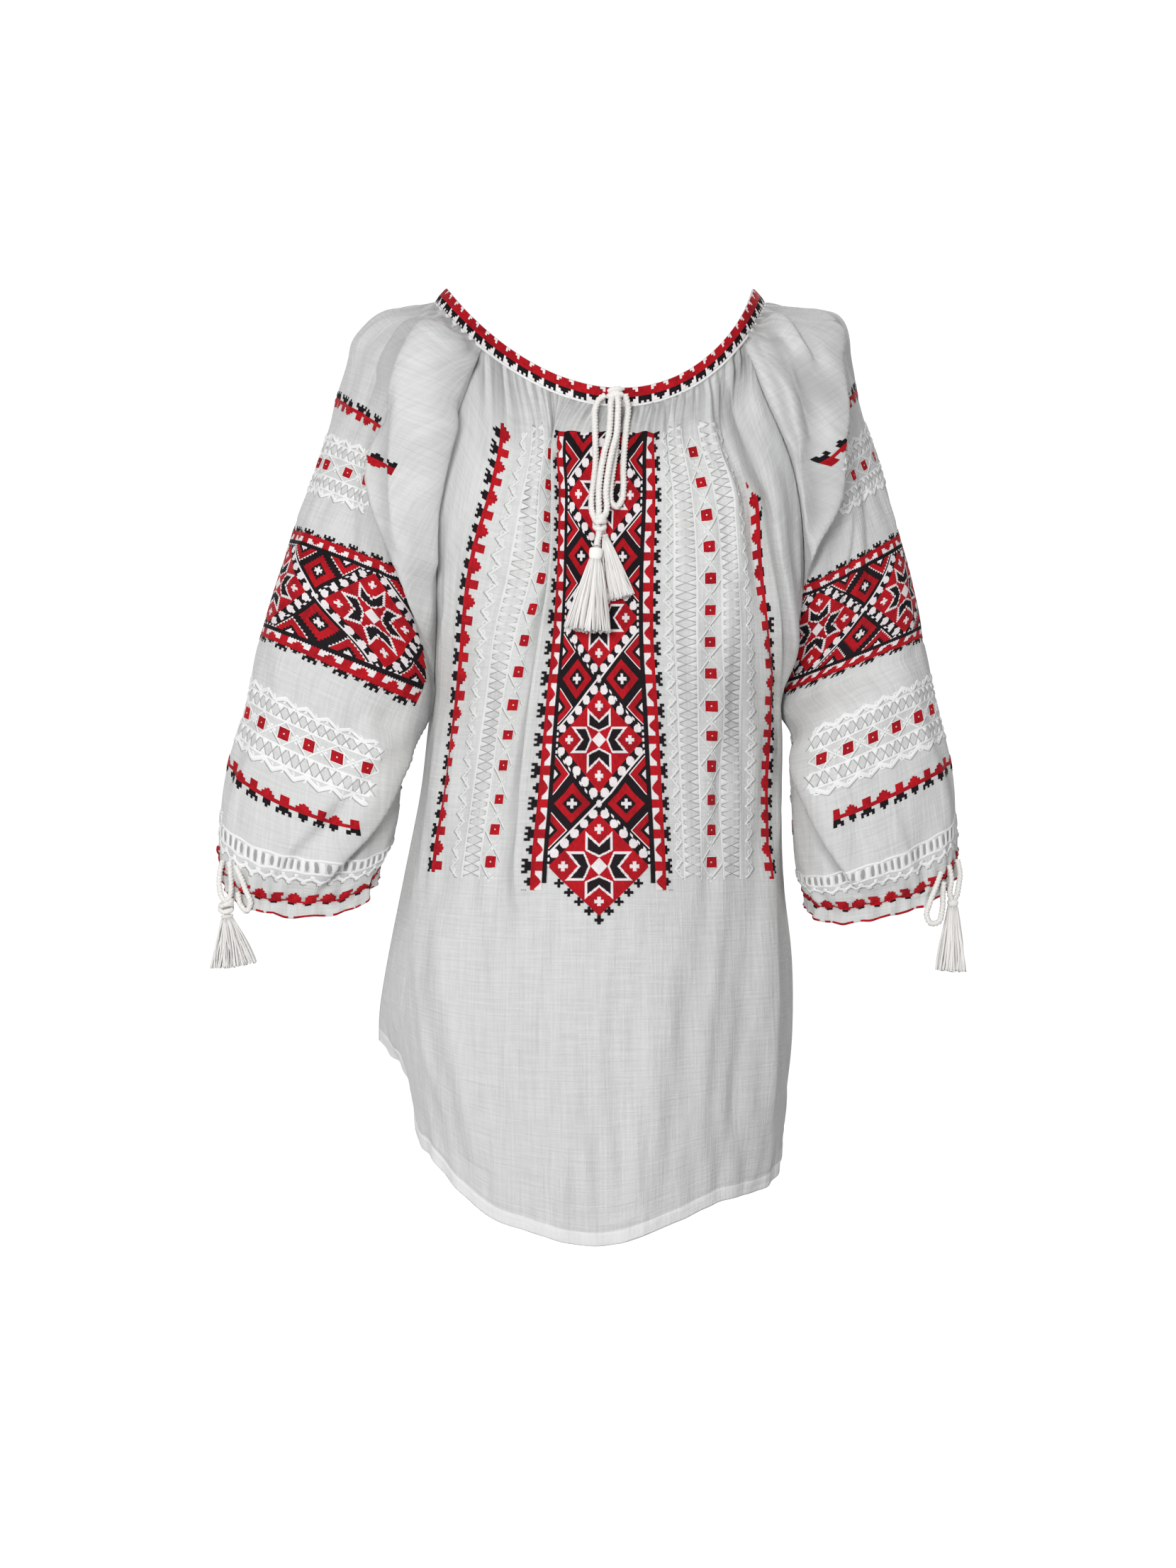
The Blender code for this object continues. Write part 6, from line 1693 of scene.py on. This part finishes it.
# ---------------------------------------------------------------- neck band
def band_point(angle, share):
    seam = neck_ring(angle)
    a = np.radians(np.asarray(angle, float))
    lean = BAND_LEAN_FRONT + (BAND_LEAN_SIDE - BAND_LEAN_FRONT) * np.abs(np.sin(a)) ** 2
    inward = np.stack([-np.sin(a), np.cos(a), 0 * a], -1)
    rise = np.sqrt(BAND_HIGH ** 2 - lean ** 2)
    share = np.reshape(share, (-1, 1)) if np.ndim(share) else share
    return seam + inward * (lean[..., None] * share) + np.array([0, 0, 1.0]) * (rise[..., None] * share)


def make_band():
    count = 420
    fine = np.linspace(0, 360, 2001)
    ring = neck_ring(np.where(fine > 180, fine - 360, fine))
    length = np.concatenate([[0], np.cumsum(np.linalg.norm(np.diff(ring, axis=0), axis=1))])
    total = float(length[-1])
    place = np.linspace(0, total, count + 1)
    angles = np.interp(place, length, fine)
    signed = np.where(angles > 180, angles - 360, angles)
    shares = np.linspace(0, 1, 11)
    grid = np.stack([band_point(signed, float(s)) for s in shares])
    normal = normals_of(grid)
    if normal[5, 0, 1] > 0:
        normal = -normal
    rng = np.random.default_rng(77)
    pull = np.interp(place, np.linspace(0, total, 60), rng.uniform(-1, 1, 60))
    pull[-1] = pull[0]
    puff = 0.8 + 0.5 * np.sin(np.pi * shares)[:, None] + 0.35 * pull[None, :]
    grid = grid + normal * puff[..., None]
    normal = normals_of(grid)
    if normal[5, 0, 1] > 0:
        normal = -normal
    index = np.arange(grid.shape[0] * (count + 1)).reshape(grid.shape[0], count + 1)
    index[:, -1] = index[:, 0]
    quads = oriented(grid, grid_quads(index), normal)
    used = np.unique(index)
    at = -np.ones(index.size, int)
    at[used] = np.arange(len(used))
    cloth = np.stack([np.broadcast_to(place, grid.shape[:2]), np.broadcast_to(shares[:, None] * BAND_HIGH, grid.shape[:2]),
                      np.full(grid.shape[:2], 99.0)], -1).reshape(-1, 3)[used]
    obj = thick_sheet("neck_band", grid.reshape(-1, 3)[used], at[quads], np.full(len(used), 1.0), cloth, BAND)
    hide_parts("neck_band")
    half = np.full(grid.shape[0], total / 2)
    return obj, Cloth(grid, normal, shares, half, shares * BAND_HIGH), total, signed, place


def band_chart(k, g):
    """The neck border: a red line with squares and buds above, black combs below."""
    m = np.abs(((g + 6.0) % 12.0) - 6.0)
    b = 6.0 - m
    code = np.zeros(k.shape, int)
    code[(k >= -0.5) & (k <= 1.5)] = 1
    code[(k > 1.0) & (m <= 2.1)] = 1
    code[(k > 1.0) & (k <= 2.5) & (b <= 2.1)] = 1
    code[(k > 2.5) & (b <= 1.1)] = 1
    code[(k < -0.5) & (k >= -1.5) & ((m <= 2.1) | (b <= 2.1))] = 2
    code[(k < -1.5) & (k >= -2.5) & ((m <= 2.1) | (b <= 1.1))] = 2
    code[(k < -2.5) & ((m <= 0.5) | (np.abs(m - 2.0) <= 0.5) | (b <= 0.5))] = 2
    return code


BAND = thread_material("band_white", (0.88, 0.85, 0.85), (0.78, 0.74, 0.74))
band_obj, band, band_long, band_angles, band_place = make_band()
band_on = []
band_stitch = Stitches()
cells_round = int(round(band_long / 2.08 / 12.0) * 12)
cell_round = band_long / cells_round
band_stitch.cells(band, np.arange(-3.5, 3.51, 0.5), np.arange(-0.5, cells_round - 0.49, 1.0),
                  band_chart,
                  lambda x, y: (y * cell_round - band_long / 2, 7.0 + x * 1.86), whole=True, high=0.34, low=0.12)
band_stitch.objects("band_stitch", band_on)
pipe_angles = np.linspace(0, 360, 361)
pipe_angles = np.where(pipe_angles > 180, pipe_angles - 360, pipe_angles)
pipe = neck_ring(pipe_angles) + np.stack([np.sin(np.radians(pipe_angles)), -np.cos(np.radians(pipe_angles)), 0 * pipe_angles - 0.2], -1) * 1.3
band_on.append(joined("neck_piping", [tube_parts(pipe, 0.95, 8, twist=3.0, plies=2, deep=0.1)], LACE))

# ---------------------------------------------------------------- stage
profile = [(-4.2, FLOOR), (-1.0, FLOOR), (3.4, FLOOR), (4.2, FLOOR + 0.10), (4.7, FLOOR + 0.45), (4.9, FLOOR + 1.2), (4.9, FLOOR + 5.2)]
fine = spline(np.arange(len(profile)), profile, np.linspace(0, len(profile) - 1, 60))
stage_points = np.array([[(x, y, z) for x in (-5.5, 5.5)] for y, z in fine])
stage_mesh = bpy.data.meshes.new("floor")
stage_mesh.from_pydata(stage_points.reshape(-1, 3).tolist(), [], grid_quads(np.arange(120).reshape(60, 2)).tolist())
stage_mesh.shade_smooth()
stage_mesh.materials.append(plain("floor_white", (0.93, 0.93, 0.93), 0.95, 0.0, 0.85))
floor_obj = bpy.data.objects.new("floor", stage_mesh)
bpy.context.scene.collection.objects.link(floor_obj)
floor_obj.visible_diffuse = False        # the light on the cloth comes from the lamps and the room alone
